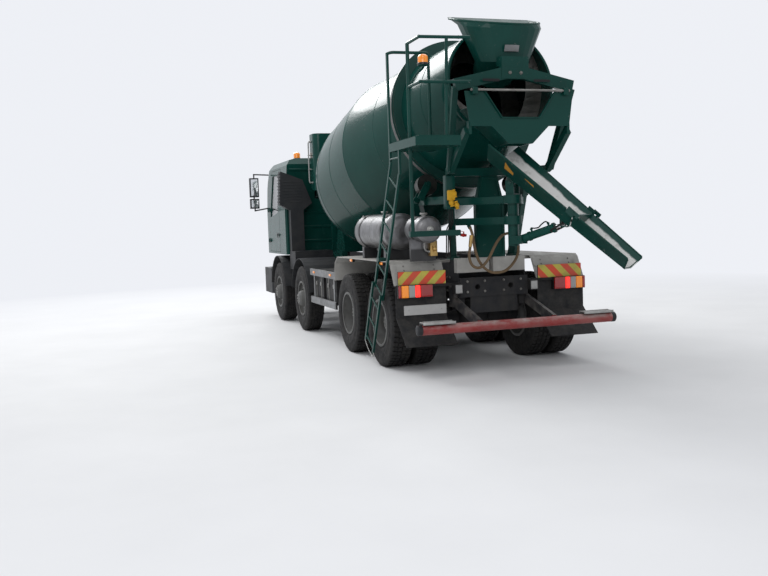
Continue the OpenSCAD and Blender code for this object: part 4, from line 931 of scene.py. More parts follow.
class MIXER_OT_rear_lamps(bpy.types.Operator):
    """Makes the tail lamps, white lamps, slanting warning bands and the bare plate on the lamp carrier"""

    bl_idname = "mixer.rear_lamps"
    bl_label = "Rear lamps"

    def execute(self, context):
        sections = ((0.777, 0.922, 2), (0.926, 0.984, 3), (0.988, 1.062, 1), (1.066, 1.15, 0),
            (1.154, 1.186, 2))
        crown = [(0, -0.002), (0, 0.01), (0.003, 0.016), (0.01, 0.019), (0.02, 0.0195)]
        for side, out in SIDES.items():
            lamp = Form()
            for y0, y1, mat in sections:
                lamp.stepped((-0.72, out * (y0 + y1) / 2, 0.944), ((y1 - y0) / 2, 0.069), 0.007, crown,
                    REAR, mat)
            piece(f"tail_lamp_{side}", lamp, "amber clear_lens red_lens red_lit", "chassis", 30)

            band = Form()
            rows = [(0, -0.001), (0, 0.0015), (0.002, 0.003), (0.005, 0.0022), (0.012, 0.0022)]
            band.stepped((-0.6673, out * 0.88, 1.089), (0.289, 0.078), 0.009, rows, REAR)
            piece(f"warning_band_{side}", band, "chevron", "chassis")

            white = Form()
            spot = (-0.785, out * 0.4776, 0.945)
            rim = [(0, -0.012), (0, 0.006), (0.003, 0.008), (0.008, 0.008), (0.008, 0.002)]
            white.stepped(spot, (0.0505, 0.0575), 0.008, rim, REAR, 0)
            glass = [(0, 0.0), (0, 0.005), (0.004, 0.008), (0.012, 0.0095)]
            white.stepped(spot, (0.042, 0.049), 0.006, glass, REAR, 1)
            piece(f"white_lamp_{side}", white, "black_gloss clear_lens", "chassis", 30)

        plate = Form()
        rows = [(0, -0.001), (0, 0.002), (0.002, 0.004), (0.005, 0.004), (0.007, 0.002), (0.02, 0.002)]
        plate.stepped((-0.6653, 0.85, 0.724), (0.259, 0.0555), 0.009, rows, REAR, 0)
        spots = [(-0.669, 0.85 + k * 0.2, 0.724) for k in (-1, 1)]
        plate.stamped(nut(0.006, 0.004), spots, (-1, 0, 0), 1)
        piece("bare_plate", plate, "plate_white zinc", "chassis")
        return {"FINISHED"}


class MIXER_OT_underrun(bpy.types.Operator):
    """Makes the bar's end caps and the toothed treads on it"""

    bl_idname = "mixer.underrun"
    bl_label = "Underrun bar"

    def execute(self, context):
        for side, out in SIDES.items():
            cap = Form()
            profile = [(0.0, 0.012), (0.03, 0.011), (0.05, 0.006), (0.0565, 0.0), (0.0565, -0.045),
                (0.0552, -0.047), (0.0552, 0.0)]
            cap.turned(profile, (-1.34, out * 1.195, 0.573), (0, out, 0), 32)
            piece(f"bar_cap_{side}", cap, "plastic", "chassis")

            tread = Form()
            tread_x, tread_y = -1.401, out * 0.965
            x, mx = bar_rows(6, 0.0195, 0.007)
            y, my = bar_rows(19, 0.0197, 0.007)
            height = 0.005 * np.maximum(mx[:, None] * (np.arange(len(y)) // 4 % 2 == 0)[None], my[None])
            tread.relief((tread_x, tread_y - y[-1] / 2, 0.6503), UP, x, y, height)
            for dx in (-0.004, x[-1] + 0.001):
                corner = np.array([tread_x + dx, tread_y, 0.632])
                tread.block(corner - (0, 0.187, 0), corner + (0.003, 0.187, 0.028), 0.001)
            piece(f"bar_tread_{side}", tread, "zinc", "chassis")
        return {"FINISHED"}


class MIXER_OT_guard_fittings(bpy.types.Operator):
    """Makes the slanted corner covers with their bolts, side markers and the guards' end caps"""

    bl_idname = "mixer.guard_fittings"
    bl_label = "Guard fittings"

    def execute(self, context):
        low, high = np.array([-0.65, 0, 1.01]), np.array([-0.52, 0, 1.25])
        rise = high - low
        v = rise / np.linalg.norm(rise)
        back = np.array([-v[2], 0, v[0]])
        for side, out in SIDES.items():
            cover = Form()
            mid = low + 0.78 * rise + (0, out * 0.885, 0) + 0.0005 * back
            rows = [(0, -0.001), (0, 0.003), (0.003, 0.006), (0.012, 0.0065)]
            cover.stepped(mid, (0.3, 0.058), 0.02, rows, ((0, -1, 0), v), 0)
            spots = [low + k * rise + (0, out * y, 0) + 0.0068 * back for y in (0.69, 1.06)
                for k in (0.68, 0.88)]
            cover.stamped(nut(0.009, 0.008), spots, back, 1)
            piece(f"corner_cover_{side}", cover, "guard_white steel", "chassis")

            marker = Form()
            for x, z in ((2.3, 1.0), (3.3, 1.0), (1.1, 1.252), (-0.2, 1.252)):
                y = 1.2003 if z < 1.1 else 1.2123
                if z > 1.1:
                    marker.block((x - 0.055, out * 1.178, z - 0.022), (x + 0.055, out * 1.212, z + 0.022),
                        0.004, mat=1)
                rows = [(0, 0.0), (0, 0.005), (0.003, 0.009), (0.009, 0.011)]
                marker.stepped((x, out * y, z), (0.045, 0.016), 0.007, rows, outward(out), 0)
            piece(f"side_markers_{side}", marker, "amber black_gloss", "chassis", 30)

            ends = Form()
            for x in (2.046, 3.554):
                for z in (0.57, 1.0):
                    rows = [(0, -0.004), (0, 0.01), (0.004, 0.014), (0.01, 0.015)]
                    facing = REAR if x < 3 else FRONT
                    ends.stepped((x, out * 1.186, z), (0.0155, 0.0515), 0.004, rows, facing)
            piece(f"rail_caps_{side}", ends, "plastic", "chassis")
        return {"FINISHED"}


class MIXER_OT_chute(bpy.types.Operator):
    """Makes the chute's rolled rims, amber bands, rubber handle and lip bead"""

    bl_idname = "mixer.chute"
    bl_label = "Chute"

    def half(self, x):
        """Half width of the main chute and of its extension on the line of the rims."""
        main = 0.33 - 0.08 * (x + 0.13) / 1.21
        fold = 0.236 - 0.046 * (x - 1.088) / 0.732
        return np.where(x < 1.084, main, fold)

    def execute(self, context):
        for name, body, x0, x1 in (("chute_rims", "chute", -0.128, 0.992),
                ("extension_rims", "extension", 1.172, 1.807)):
            rims = Form()
            x = np.linspace(x0, x1, 9)
            for s in (-1, 1):
                path = points_at(x, s * (self.half(x) - 0.002), 0.003)
                rims.tube(on_slope(path), 0.0095, 10)
            if body == "extension":
                w, k, deep = float(self.half(x1)), 0.45, 0.133
                lip = [(x1, -w, 0.0), (x1, -w * k, -deep), (x1, w * k, -deep), (x1, w, 0.0)]
                rims.tube(on_slope(rounded(lip, 0.03)), 0.008, 8, up=(0.3, 0.9, 0.2))
            piece(name, rims, "edge_worn", body)

        bands = Form()
        for x0 in (0.13, 0.42):
            x = np.linspace(x0, x0 + 0.13, 5)
            deep = 0.2 * (1 - 0.15 * (x + 0.13) / 1.21)
            t = np.linspace(0.22, 0.62, 4)
            w = self.half(x)
            y = -(w[:, None] * (1 - 0.55 * t))
            z = -deep[:, None] * t
            face = points_at(x[:, None], y, z)
            normal = unit((0, -0.2, -0.18))
            bands.sheet(on_slope(face + 0.0022 * normal), on_slope(face + 0.0002 * normal))
        piece("chute_bands", bands, "amber_band", "chute")

        handle = Form()
        path = [(0.985, -0.06, -0.172), (0.985, -0.075, -0.2), (0.96, -0.085, -0.27),
            (0.93, -0.075, -0.335), (0.925, 0.0, -0.365), (0.93, 0.075, -0.335), (0.96, 0.085, -0.27),
            (0.985, 0.075, -0.2), (0.985, 0.06, -0.172)]
        handle.tube(on_slope(smooth_path(path, 48)), 0.011, 10)
        for y in (-0.06, 0.06):
            root = on_slope((0.985, y, -0.172))
            handle.block(root - 0.022, root + 0.022, 0.006)
        piece("chute_handle", handle, "cable", "chute")
        return {"FINISHED"}


class MIXER_OT_cylinder(bpy.types.Operator):
    """Makes the cylinder's gland, end cap, ports and the hose clipped along its barrel"""

    bl_idname = "mixer.cylinder"
    bl_label = "Chute cylinder"

    def execute(self, context):
        c, s = -math.cos(CHUTE_TURN), -math.sin(CHUTE_TURN)
        foot = np.array([SWIVEL_X + 0.095 * c, 0.095 * s, 1.5])
        eye = np.array([SWIVEL_X + 0.62 * c, 0.62 * s, 1.655])
        ahead = unit(eye - foot)
        barrel_end = np.linalg.norm(eye - foot) - 0.13
        form = Form()
        ring_shape = [(0.03, 0.0), (0.052, 0.0), (0.055, 0.004), (0.055, 0.026), (0.05, 0.03),
            (0.036, 0.032), (0.03, 0.03)]
        form.turned(ring_shape, foot + (barrel_end - 0.016) * ahead, ahead, 32, ring=True)
        form.turned([(0.044, -0.004), (0.052, 0.0), (0.052, 0.022), (0.044, 0.026)], foot + 0.1 * ahead,
            ahead, 32, ring=True)
        side = unit(np.cross(ahead, (0, 0, 1)))
        top = np.cross(side, ahead)
        for at in (0.15, barrel_end - 0.055):
            form.turned([(0.011, 0.04), (0.011, 0.058), (0.015, 0.06), (0.015, 0.074), (0.008, 0.078)],
                foot + at * ahead, top, 12)
        piece("cylinder_gland", form, "cylinder_green", "cylinder")
        hose = Form()
        bend = [(barrel_end - 0.055, 0.076), (barrel_end - 0.085, 0.094), (barrel_end - 0.14, 0.078),
            (0.24, 0.06), (0.19, 0.066), (0.155, 0.08), (0.15, 0.072)]
        path = [foot + along * ahead + high * top for along, high in bend]
        hose.tube(smooth_path(path, 40), 0.0075, 10, up=(0.3, 1, 0.2))
        piece("cylinder_pipe", hose, "cable", "cylinder")
        return {"FINISHED"}


class MIXER_OT_funnel(bpy.types.Operator):
    """Makes the rolled rim of the feed funnel, its bare rear plate, and the gable's bolts, black patches
    painted as the shade inside its slots, and cross rod"""

    bl_idname = "mixer.funnel"
    bl_label = "Feed funnel"

    def execute(self, context):
        a = np.radians(np.linspace(-90, 90, 25))
        rear, front, half = np.array([-0.287, 0.59]), np.array([0.303, 0.76]), 0.494
        ahead = (front - rear) / np.linalg.norm(front - rear)
        deep = np.linalg.norm(front - rear)
        bow = min(half, 0.62 * deep)
        along = np.concatenate([bow * (1 - np.cos(a)),
            [0.85 * deep, deep - 0.004, deep - 0.004, 0.85 * deep]])
        across = np.concatenate([half * np.sin(a), [half, half - 0.006, 0.006 - half, -half]])
        xz = rear + along[:, None] * ahead
        path = points_at(MOUTH_X + xz[:, 0], across, MOUTH_Z + xz[:, 1] - 0.01)
        rim = Form()
        rim.tube(path, 0.014, 10, closed=True)
        piece("funnel_rim", rim, "edge_worn", "chassis")

        plate = Form()
        y = np.linspace(-0.085, 0.085, 15)
        z = np.array([0.285, 0.287, 0.35, 0.352])
        edge = np.array([0.0, 0.003, 0.003, 0.0])
        bow, wide = 0.31, 0.36
        x = -0.24 - 0.143 * (z[:, None] - 0.18) / 0.35 + bow * (1 - np.sqrt(1 - (y / wide) ** 2))[None]
        front_face = points_at(MOUTH_X + x - edge[:, None], y, MOUTH_Z + z[:, None])
        plate.sheet(front_face, front_face + (0.006, 0, 0))
        piece("funnel_plate", plate, "aluminium", "chassis")

        gable = Form()
        face = GABLE_X - 0.036
        spots = [(face - 0.0002, y, MOUTH_Z + 0.045) for y in (-0.065, 0.065)]
        gable.stamped(nut(0.016, 0.018), spots, (-1, 0, 0))
        gable.stepped((face, 0, MOUTH_Z + 0.045), (0.125, 0.048), 0.012,
            [(0, -0.002), (0, 0.0), (0.001, 0.001)], REAR, 1)
        # Slots: thin black patches on the gable, painted shade where the openings would be dark
        for out in (-1, 1):
            gable.stepped((GABLE_X - 0.0652, out * 0.3, MOUTH_Z - 0.04), (0.1, 0.014), 0.0135,
                [(0, -0.001), (0, 0.0006), (0.001, 0.001)], REAR, 2)
        piece("gable_bolts", gable, "steel green_rear box_black", "chassis")

        rod = Form()
        bar = points_at(TROUGH_X - 0.03, np.linspace(-0.56, 0.58, 5), MOUTH_Z - 0.158)
        rod.tube(bar, 0.013, 12, up=(0, 0, 1))
        for out in (-1, 1):
            low = (TROUGH_X - 0.05, out * 0.535 - 0.03, MOUTH_Z - 0.205)
            rod.block(low, (TROUGH_X + 0.002, out * 0.535 + 0.03, MOUTH_Z - 0.13), 0.006, mat=1)
            rod.stamped(nut(0.014, 0.014), [(TROUGH_X - 0.03, out * 0.568, MOUTH_Z - 0.158)], (0, out, 0))
        piece("trough_rod", rod, "steel green_rear", "chassis")
        return {"FINISHED"}


class MIXER_OT_valves(bpy.types.Operator):
    """Makes the yellow and red taps, their levers and the pipes clipped to the rear frame"""

    bl_idname = "mixer.valves"
    bl_label = "Valves"

    def tap(self, form, place, way, size, mat):
        """Round valve body with two collars, a stem and a lever plate."""
        _, v, w = basis(way)
        profile = [(0.4, -1.5), (0.75, -1.5), (0.75, -1.1), (0.5, -1.0), (0.9, -0.5), (1.0, 0), (0.9, 0.5),
            (0.5, 1.0), (0.75, 1.1), (0.75, 1.5), (0.4, 1.5)]
        stem = [(0.28, 0.8), (0.28, 1.5), (0.45, 1.55), (0.45, 1.75)]
        form.turned(size * np.array(profile), place, w, 16, mat=mat)
        form.turned(size * np.array(stem), place, v, 10, mat=mat)
        reach = size * np.array([(0, 1.75), (0.9, 1.87), (2.2, 2.1), (3.2, 2.1)])
        section = size * np.array([(-0.3, -0.1), (0.3, -0.1), (0.3, 0.1), (-0.3, 0.1)])
        form.swept(place + reach @ np.stack([w, v]), section, up=v, mat=mat)

    def execute(self, context):
        form = Form()
        form.block((-0.9, 0.535, 1.86), (-0.8, 0.645, 2.235), 0.008, mat=2)
        for k, (y, z) in enumerate(((0.56, 2.03), (0.6, 1.93), (0.54, 1.9))):
            self.tap(form, (-0.925 - 0.008 * k, y, z), (0.15, 0.2, 1), 0.03, 0)
        form.block((-0.945, 0.555, 1.955), (-0.895, 0.64, 2.07), 0.012)
        self.tap(form, (-0.79, 0.405, 1.56), (0, 1, 0.1), 0.022, 1)
        form.tube([(-0.79, 0.43, 1.56), (-0.77, 0.452, 1.57), (-0.7, 0.448, 1.56)], 0.01, 8, mat=2)
        piece("valve_block", form, "yellow red green_rear", "chassis")

        pipes = Form()
        for k in (0, 1, 2):
            y = 0.555 + 0.022 * k
            bend = ((-0.85, 0, 1.862), (-0.85, 0, 1.78), (-0.8, -0.02, 1.7), (-0.64, -0.05, 1.62),
                (-0.59, -0.065, 1.5), (-0.56, -0.07, 1.3))
            path = [(x, y + dy, z) for x, dy, z in bend]
            pipes.tube(smooth_path(path, 36), 0.0075, 8, up=(1, 0.2, 0.1))
        piece("valve_pipes", pipes, "cable", "chassis")

        drain = Form()
        drain.block((-0.728, 0.702, 1.335), (-0.6602, 0.79, 1.512), 0.007)
        self.tap(drain, (-0.751, 0.745, 1.42), (0, 0.2, 1), 0.024, 0)
        bend = [(-0.7, 0.85, 1.494), (-0.7, 0.85, 1.43), (-0.7, 0.828, 1.396), (-0.7, 0.788, 1.388)]
        drain.tube(smooth_path(bend, 20), 0.01, 10, up=(1, 0.1, 0.1), mat=1)
        for y, z, way in ((0.85, 1.5, (0, 0, -1)), (0.789, 1.388, (0, 1, 0))):
            drain.turned([(0.01, -0.004), (0.018, -0.002), (0.018, 0.016), (0.01, 0.018)], (-0.7, y, z),
                way, 12, ring=True, mat=1)
        piece("tank_drain", drain, "brass zinc", "chassis")
        return {"FINISHED"}


class MIXER_OT_drum_fittings(bpy.types.Operator):
    """Makes the drum's weld seams, mouth ring, front flange bolts and the hatch on its side"""

    bl_idname = "mixer.drum_fittings"
    bl_label = "Drum fittings"

    def execute(self, context):
        ahead = np.array([-math.cos(DRUM_TILT), 0, math.sin(DRUM_TILT)])
        seams = Form()
        for s in (0.42, DOME_LEN, 1.96, CONE_START, 3.66, 4.9):
            r = float(drum_radius(s))
            rise = float(drum_radius(s + 0.02) - drum_radius(s - 0.02)) / 0.04
            weld = ((-0.01, -0.004), (-0.007, 0.0015), (-0.002, 0.003), (0.002, 0.003), (0.007, 0.0015),
                (0.01, -0.004))
            band = [(r + up + (rise * h if abs(h) > 0.002 else 0), h) for h, up in weld]
            seams.turned(band, DRUM_FRONT + s * ahead, ahead, 96, ring=True)
        mouth = [(-0.01, 0.0), (-0.01, -0.004), (0.004, -0.06), (0.026, -0.06), (0.028, -0.056),
            (0.02, 0.0), (0.016, 0.004), (-0.006, 0.004)]
        seams.turned([(MOUTH_R + r, h) for r, h in mouth], DRUM_FRONT + DRUM_LEN * ahead, ahead, 96,
            ring=True)
        piece("drum_seams", seams, "green_drum", "drum", 50)

        bolts = Form()
        bolts.stamped(nut(0.014, 0.016), drum_point(-0.0602, turns(16), 0.19), -ahead)
        piece("drum_flange_bolts", bolts, "steel", "drum")

        hatch = Form()
        s0, a0, long, wide = 2.02, math.radians(-118), 0.27, 0.21
        rho = np.array([1.0, 1.0, 0.985, 0.9, 0.88, 0.55, 0.02])
        height = np.array([-0.004, 0.01, 0.014, 0.014, 0.02, 0.026, 0.028])
        t = turns(48)
        s = s0 + long * rho[:, None] * np.cos(t)
        turn = a0 + wide * rho[:, None] * np.sin(t) / DRUM_R
        hatch.lattice(drum_point(s, turn, DRUM_R + height[:, None]), wrap_v=True, caps=True)
        t = turns(14)
        s, turn = s0 + long * 0.94 * np.cos(t), a0 + wide * 0.94 * np.sin(t) / DRUM_R
        spots = drum_point(s, turn, DRUM_R + 0.0135)
        hatch.stamped(nut(0.011, 0.013), spots, spots - drum_point(s, turn, 0.0), 1)
        for way in (-1, 1):
            u = np.linspace(-0.07, 0.07, 9)
            arch = DRUM_R + 0.022 + 0.045 * np.sqrt(np.clip(1 - (u / 0.0702) ** 4, 0, 1))
            grip = drum_point(s0 + u, a0 + way * 0.075 / DRUM_R, arch)
            hatch.tube(grip, 0.007, 8, up=(0, 1, 0.2), mat=1)
        piece("drum_hatch", hatch, "green_drum steel", "drum")
        return {"FINISHED"}


class MIXER_OT_access(bpy.types.Operator):
    """Makes the platform's grating and front handrail, the beacons and the loop at the ladder's foot"""

    bl_idname = "mixer.access"
    bl_label = "Ladder and platform"

    def beacon(self, form, foot, r=0.055, tall=0.115):
        """Lamp dome: a foot, then a cylinder closed by a quarter circle."""
        form.turned([(r * 1.12, 0), (r * 1.12, 0.018), (r * 1.02, 0.024)], foot, (0, 0, 1), 24, mat=1)
        a = np.linspace(0, math.pi / 2, 7)
        level = tall - 0.6 * r
        arc = [(r * math.cos(t), level + 0.6 * r * math.sin(t)) for t in a[1:-1]]
        dome = [(r, 0.022), (r, level), *arc, (0.004, tall)]
        form.turned(dome, foot, (0, 0, 1), 24)

    def execute(self, context):
        deck = Form()
        x, mx = bar_rows(24, 0.0355, 0.005)
        y, my = bar_rows(17, 0.03, 0.004)
        height = np.maximum(0.014 * mx[:, None], 0.01 * my[None])
        deck.relief((-1.588, 0.742, 2.6003), UP, x, y, height)
        piece("deck_grating", deck, "deck_steel", "chassis")

        rail = Form()
        bend = [(1.238, 3.585), (1.19, 3.6), (1.1, 3.6), (0.95, 3.6), (0.8, 3.6), (0.765, 3.57),
            (0.762, 3.5), (0.762, 3.0), (0.762, 2.6005)]
        path = [(x, y, z) for x, (y, z) in zip([-0.722, -0.745, -0.762] + [-0.765] * 6, bend)]
        rail.tube(smooth_path(path, 60), 0.017, 12, up=(1, 0.1, 0.2))
        rail.stepped((-0.7655, 0.7625, 2.6003), (0.022, 0.022), 0.004, [(0, 0), (0, 0.007), (0.002, 0.009)],
            UP)
        piece("front_handrail", rail, "green_rear", "chassis")

        along, across = np.array([-0.4695, 0, 0.8829]), np.array([-0.8829, 0, -0.4695])
        start = np.array([-0.12, TRACK_HALF + 0.05, 0.9])
        ends = [(-0.745, -0.17), (-0.765, -0.185), (-0.8, -0.165), (-0.822, -0.06), (-0.826, 0.06),
            (-0.806, 0.16), (-0.768, 0.185), (-0.745, 0.17)]
        loop = Form()
        loop.tube(smooth_path([start + u * along + w * across for u, w in ends], 48), 0.006, 8,
            up=(0, 1, 0.1))
        piece("ladder_foot_loop", loop, "zinc", "ladder_step")

        lamp = Form()
        foot = np.array([-1.135, 0.965, 3.402])
        self.beacon(lamp, foot)
        arm = [foot + (0, 0, -0.002), foot + (0, 0, -0.03), (-1.15, 1.05, 3.3), (-1.2, 1.15, 3.17),
            (-1.24, 1.178, 3.155)]
        lamp.tube(smooth_path(arm, 20), 0.012, 8, up=(1, 0.1, 0.1), mat=2)
        lamp.stepped(foot + (0, 0, -0.006), (0.055, 0.055), 0.02, [(0, 0), (0, 0.006), (0.002, 0.007)], UP,
            2)
        piece("rear_beacon", lamp, "amber black_gloss green_rear", "chassis", 40)

        roof = Form()
        for y in (0.8, -0.8):
            self.beacon(roof, (5.96, y, 2.9305), 0.06, 0.13)
        piece("roof_beacons", roof, "amber black_gloss", "cab", 40)
        return {"FINISHED"}


class MIXER_OT_tank_fittings(bpy.types.Operator):
    """Makes the side tanks' strap bolts, weld beads, filler cap and plugs, and the level pipe of the
    water tank"""

    bl_idname = "mixer.tank_fittings"
    bl_label = "Tank fittings"

    def bead(self, form, x, y, z, r):
        """Weld bead round a level tank."""
        a = np.linspace(0, math.pi, 6)
        form.turned([(r - 0.003 + 0.006 * math.sin(t), 0.008 * math.cos(t)) for t in a], (x, y, z),
            (1, 0, 0), 48, ring=True)

    def execute(self, context):
        big, small = (0.94, 1.62, 0.215), (0.85, 1.64, 0.15)
        fittings = Form()
        for (y, z, r), seams, straps in ((big, (-0.175, 0.45, 1.075), (0.0, 0.9)),
                (small, (-0.848, -0.472), (-0.635,))):
            for x in seams:
                self.bead(fittings, x, y, z, r)
            for x in straps:
                for a in (math.radians(35), math.radians(215)):
                    way = np.array([0, math.sin(a), math.cos(a)])
                    tip = np.array([x, y, z]) + (r + 0.01) * way
                    fittings.block(tip - (0.022, 0.016, 0.016), tip + (0.022, 0.016, 0.016), 0.004, mat=1)
                    fittings.stamped(nut(0.009, 0.012), [tip + 0.018 * way], way, 1)
        cap = [(0.03, -0.01), (0.03, 0.02), (0.052, 0.022), (0.055, 0.028), (0.055, 0.046), (0.048, 0.052),
            (0.012, 0.054)]
        for x, y, z in ((0.45, 0.94, 1.833), (-0.7, 0.85, 1.788)):
            fittings.turned(0.8 * np.array(cap), (x, y, z), (0, 0, 1), 24, mat=1)
        for x in (0.2, 0.75):
            fittings.turned([(0.022, -0.006), (0.022, 0.014), (0.014, 0.018), (0.014, 0.032),
                (0.004, 0.034)], (x, 0.94, 1.406), (0, 0, -1), 12, mat=1)
        drain = [(0.04, -0.012), (0.04, 0.012), (0.03, 0.018), (0.03, 0.03), (0.018, 0.034), (0.018, 0.058),
            (0.004, 0.06)]
        fittings.turned(drain, (-0.899, 0.85, 1.64), (-1, 0, 0), 20, mat=1)
        piece("tank_fittings", fittings, "aluminium zinc", "chassis", 40)

        gauge = Form()
        x, y, low, high = WATER_TANK_X, 0.752, 2.47, 3.18
        path = [(x, 0.698, low), (x, y, low), (x, y, high), (x, 0.698, high)]
        gauge.tube(rounded(path, 0.03), 0.012, 12, up=(1, 0.1, 0.1))
        for z in (low, high):
            gauge.turned([(0.02, -0.004), (0.02, 0.01), (0.013, 0.014), (0.013, 0.03), (0.017, 0.032),
                (0.017, 0.042)], (x, 0.699, z), (0, 1, 0), 16, mat=1)
        for z in (2.7, 2.95):
            gauge.block((x - 0.02, 0.698, z - 0.008), (x + 0.02, y + 0.016, z + 0.008), 0.003, mat=1)
        piece("level_pipe", gauge, "clear_lens zinc", "chassis")

        lid = Form()
        lid.turned([(0.15, -0.004), (0.15, 0.022), (0.19, 0.024), (0.195, 0.03), (0.195, 0.044),
            (0.185, 0.05), (0.06, 0.064), (0.006, 0.066)], (WATER_TANK_X, 0, 3.31), (0, 0, 1), 40)
        a = turns(6)
        spots = points_at(WATER_TANK_X + 0.172 * np.cos(a), 0.172 * np.sin(a), 3.36)
        lid.stamped(nut(0.011, 0.014), spots, (0, 0, 1), 1)
        piece("tank_lid", lid, "green zinc", "chassis", 40)
        return {"FINISHED"}


class MIXER_OT_brakes(bpy.types.Operator):
    """Makes the spring brake chambers and their air hoses at the rear axles"""

    bl_idname = "mixer.brakes"
    bl_label = "Brake chambers"

    def execute(self, context):
        canister = [(0.02, -0.035), (0.02, 0.0), (0.06, 0.004), (0.078, 0.022), (0.08, 0.06),
            (0.088, 0.062), (0.088, 0.078), (0.08, 0.08), (0.078, 0.1), (0.06, 0.106), (0.06, 0.112),
            (0.074, 0.118), (0.076, 0.19), (0.066, 0.206), (0.018, 0.21), (0.016, 0.222)]
        for side, out in SIDES.items():
            form = Form()
            for axle in AXLES[2:]:
                foot = np.array([axle - 0.15, out * 0.455, WHEEL_Z + 0.155])
                form.turned(canister, foot, (-1, 0, 0.15), 28)
                arm = [foot + (dx, 0, dz) for dx, dz in ((0.035, -0.005), (0.1, -0.015), (0.13, -0.075))]
                form.tube(arm, 0.012, 8, mat=1)
                hose = [foot + (-0.1, 0, 0.085), foot + (-0.11, 0, 0.15), foot + (-0.06, -out * 0.06, 0.24),
                    foot + (0.02, -out * 0.075, 0.34)]
                form.tube(smooth_path(hose, 20), 0.008, 8, up=(0.2, 1, 0.1), mat=2)
            piece(f"brake_chambers_{side}", form, "box_black steel cable", "chassis", 40)
        return {"FINISHED"}


class MIXER_OT_cab_front(bpy.types.Operator):
    """Makes the grille, headlamp bowls, wipers, roof markers and mirror glass"""

    bl_idname = "mixer.cab_front"
    bl_label = "Cab front"

    def execute(self, context):
        grille = Form()
        rows = [(0, -0.004), (0, 0.01), (0.006, 0.016), (0.024, 0.016), (0.03, 0.004)]
        grille.stepped((7.4, 0, 1.59), (0.64, 0.26), 0.05, rows, FRONT)
        blade = [(-0.006, -0.014), (0.0, -0.018), (0.012, 0.004), (0.012, 0.016), (0.004, 0.02),
            (-0.006, 0.004)]
        y = np.linspace(-0.6, 0.6, 13)
        for z in 1.59 + 0.068 * np.arange(-3, 4):
            grille.swept(points_at(7.412, y, z), blade, (0, 0, 1), mat=1)
        for y in (-0.3, 0.0, 0.3):
            grille.block((7.402, y - 0.006, 1.35), (7.412, y + 0.006, 1.83), 0.002)
        piece("grille", grille, "plastic black_gloss", "cab")

        for side, out in SIDES.items():
            lamp = Form()
            bowl = [(0.004, 0.0005), (0.016, 0.0007), (0.034, 0.002), (0.05, 0.005), (0.056, 0.0068),
                (0.058, 0.0072), (0.06, 0.006), (0.06, -0.004)]
            bulb = [(0.01, -0.001), (0.011, 0.003), (0.009, 0.006), (0.003, 0.007)]
            for y in (0.885, 0.985):
                spot = (7.4522, out * (y + 0.005), 0.7)
                lamp.turned([(0.78 * r, h) for r, h in bowl], spot, (1, 0, 0), 36)
                lamp.turned(bulb, spot, (1, 0, 0), 16, mat=1)
            amber = [(0, -0.002), (0, 0.003), (0.002, 0.006), (0.006, 0.0065)]
            lamp.stepped((7.452, out * 0.94, 0.64), (0.11, 0.011), 0.008, amber, FRONT, 2)
            lamp.stepped((7.452, out * 0.94, 0.76), (0.11, 0.01), 0.008, amber, FRONT, 1)
            piece(f"headlamp_{side}", lamp, "chrome clear_lens amber", "chassis", 40)

        wipers = Form()
        for y0, reach in ((0.62, -0.62), (-0.16, -0.62)):
            pivot = np.array([7.414, y0, 1.925])
            wipers.turned([(0.022, -0.012), (0.022, 0.006), (0.014, 0.012), (0.004, 0.014)], pivot,
                (1, 0, 0.12), 14)
            tip = pivot + (-0.004, reach, 0.115)
            wipers.tube(smooth_path([pivot + (0.006, 0, 0), pivot + (0.016, 0.4 * reach, 0.03),
                tip + (0.008, 0, 0)], 12), 0.006, 8, up=(1, 0, 0.1))
            y = np.linspace(-0.3, 0.3, 9)
            lip = points_at(tip[0] - 0.01, tip[1] + y, tip[2] + 0.04 * y)
            wipers.swept(lip, [(-0.01, -0.003), (0.006, -0.003), (0.012, 0), (0.006, 0.003),
                (-0.01, 0.003)], (0, 0, 1))
        piece("wipers", wipers, "black_gloss", "cab")

        markers = Form()
        for y in (-0.8, -0.4, 0.4, 0.8):
            markers.stepped((6.93, y, 2.93), (0.045, 0.022), 0.016,
                [(0, -0.002), (0, 0.01), (0.004, 0.02), (0.012, 0.024)], UP, 0)
        piece("roof_markers", markers, "amber", "cab", 40)

        mirrors = Form()
        rows = [(0, -0.001), (0, 0.004), (0.004, 0.006), (0.008, 0.006), (0.01, 0.003)]
        for out in SIDES.values():
            for z, tall in ((2.485, 0.172), (2.175, 0.082)):
                mirrors.stepped((7.17, out * 1.395, z), (0.078, tall), 0.018, rows, REAR, 0)
                mirrors.stepped((7.1668, out * 1.395, z), (0.066, tall - 0.012), 0.012,
                    [(0, -0.001), (0, 0.0004), (0.001, 0.0006)], REAR, 1)
        piece("mirror_glass", mirrors, "plastic mirror", "cab")
        return {"FINISHED"}


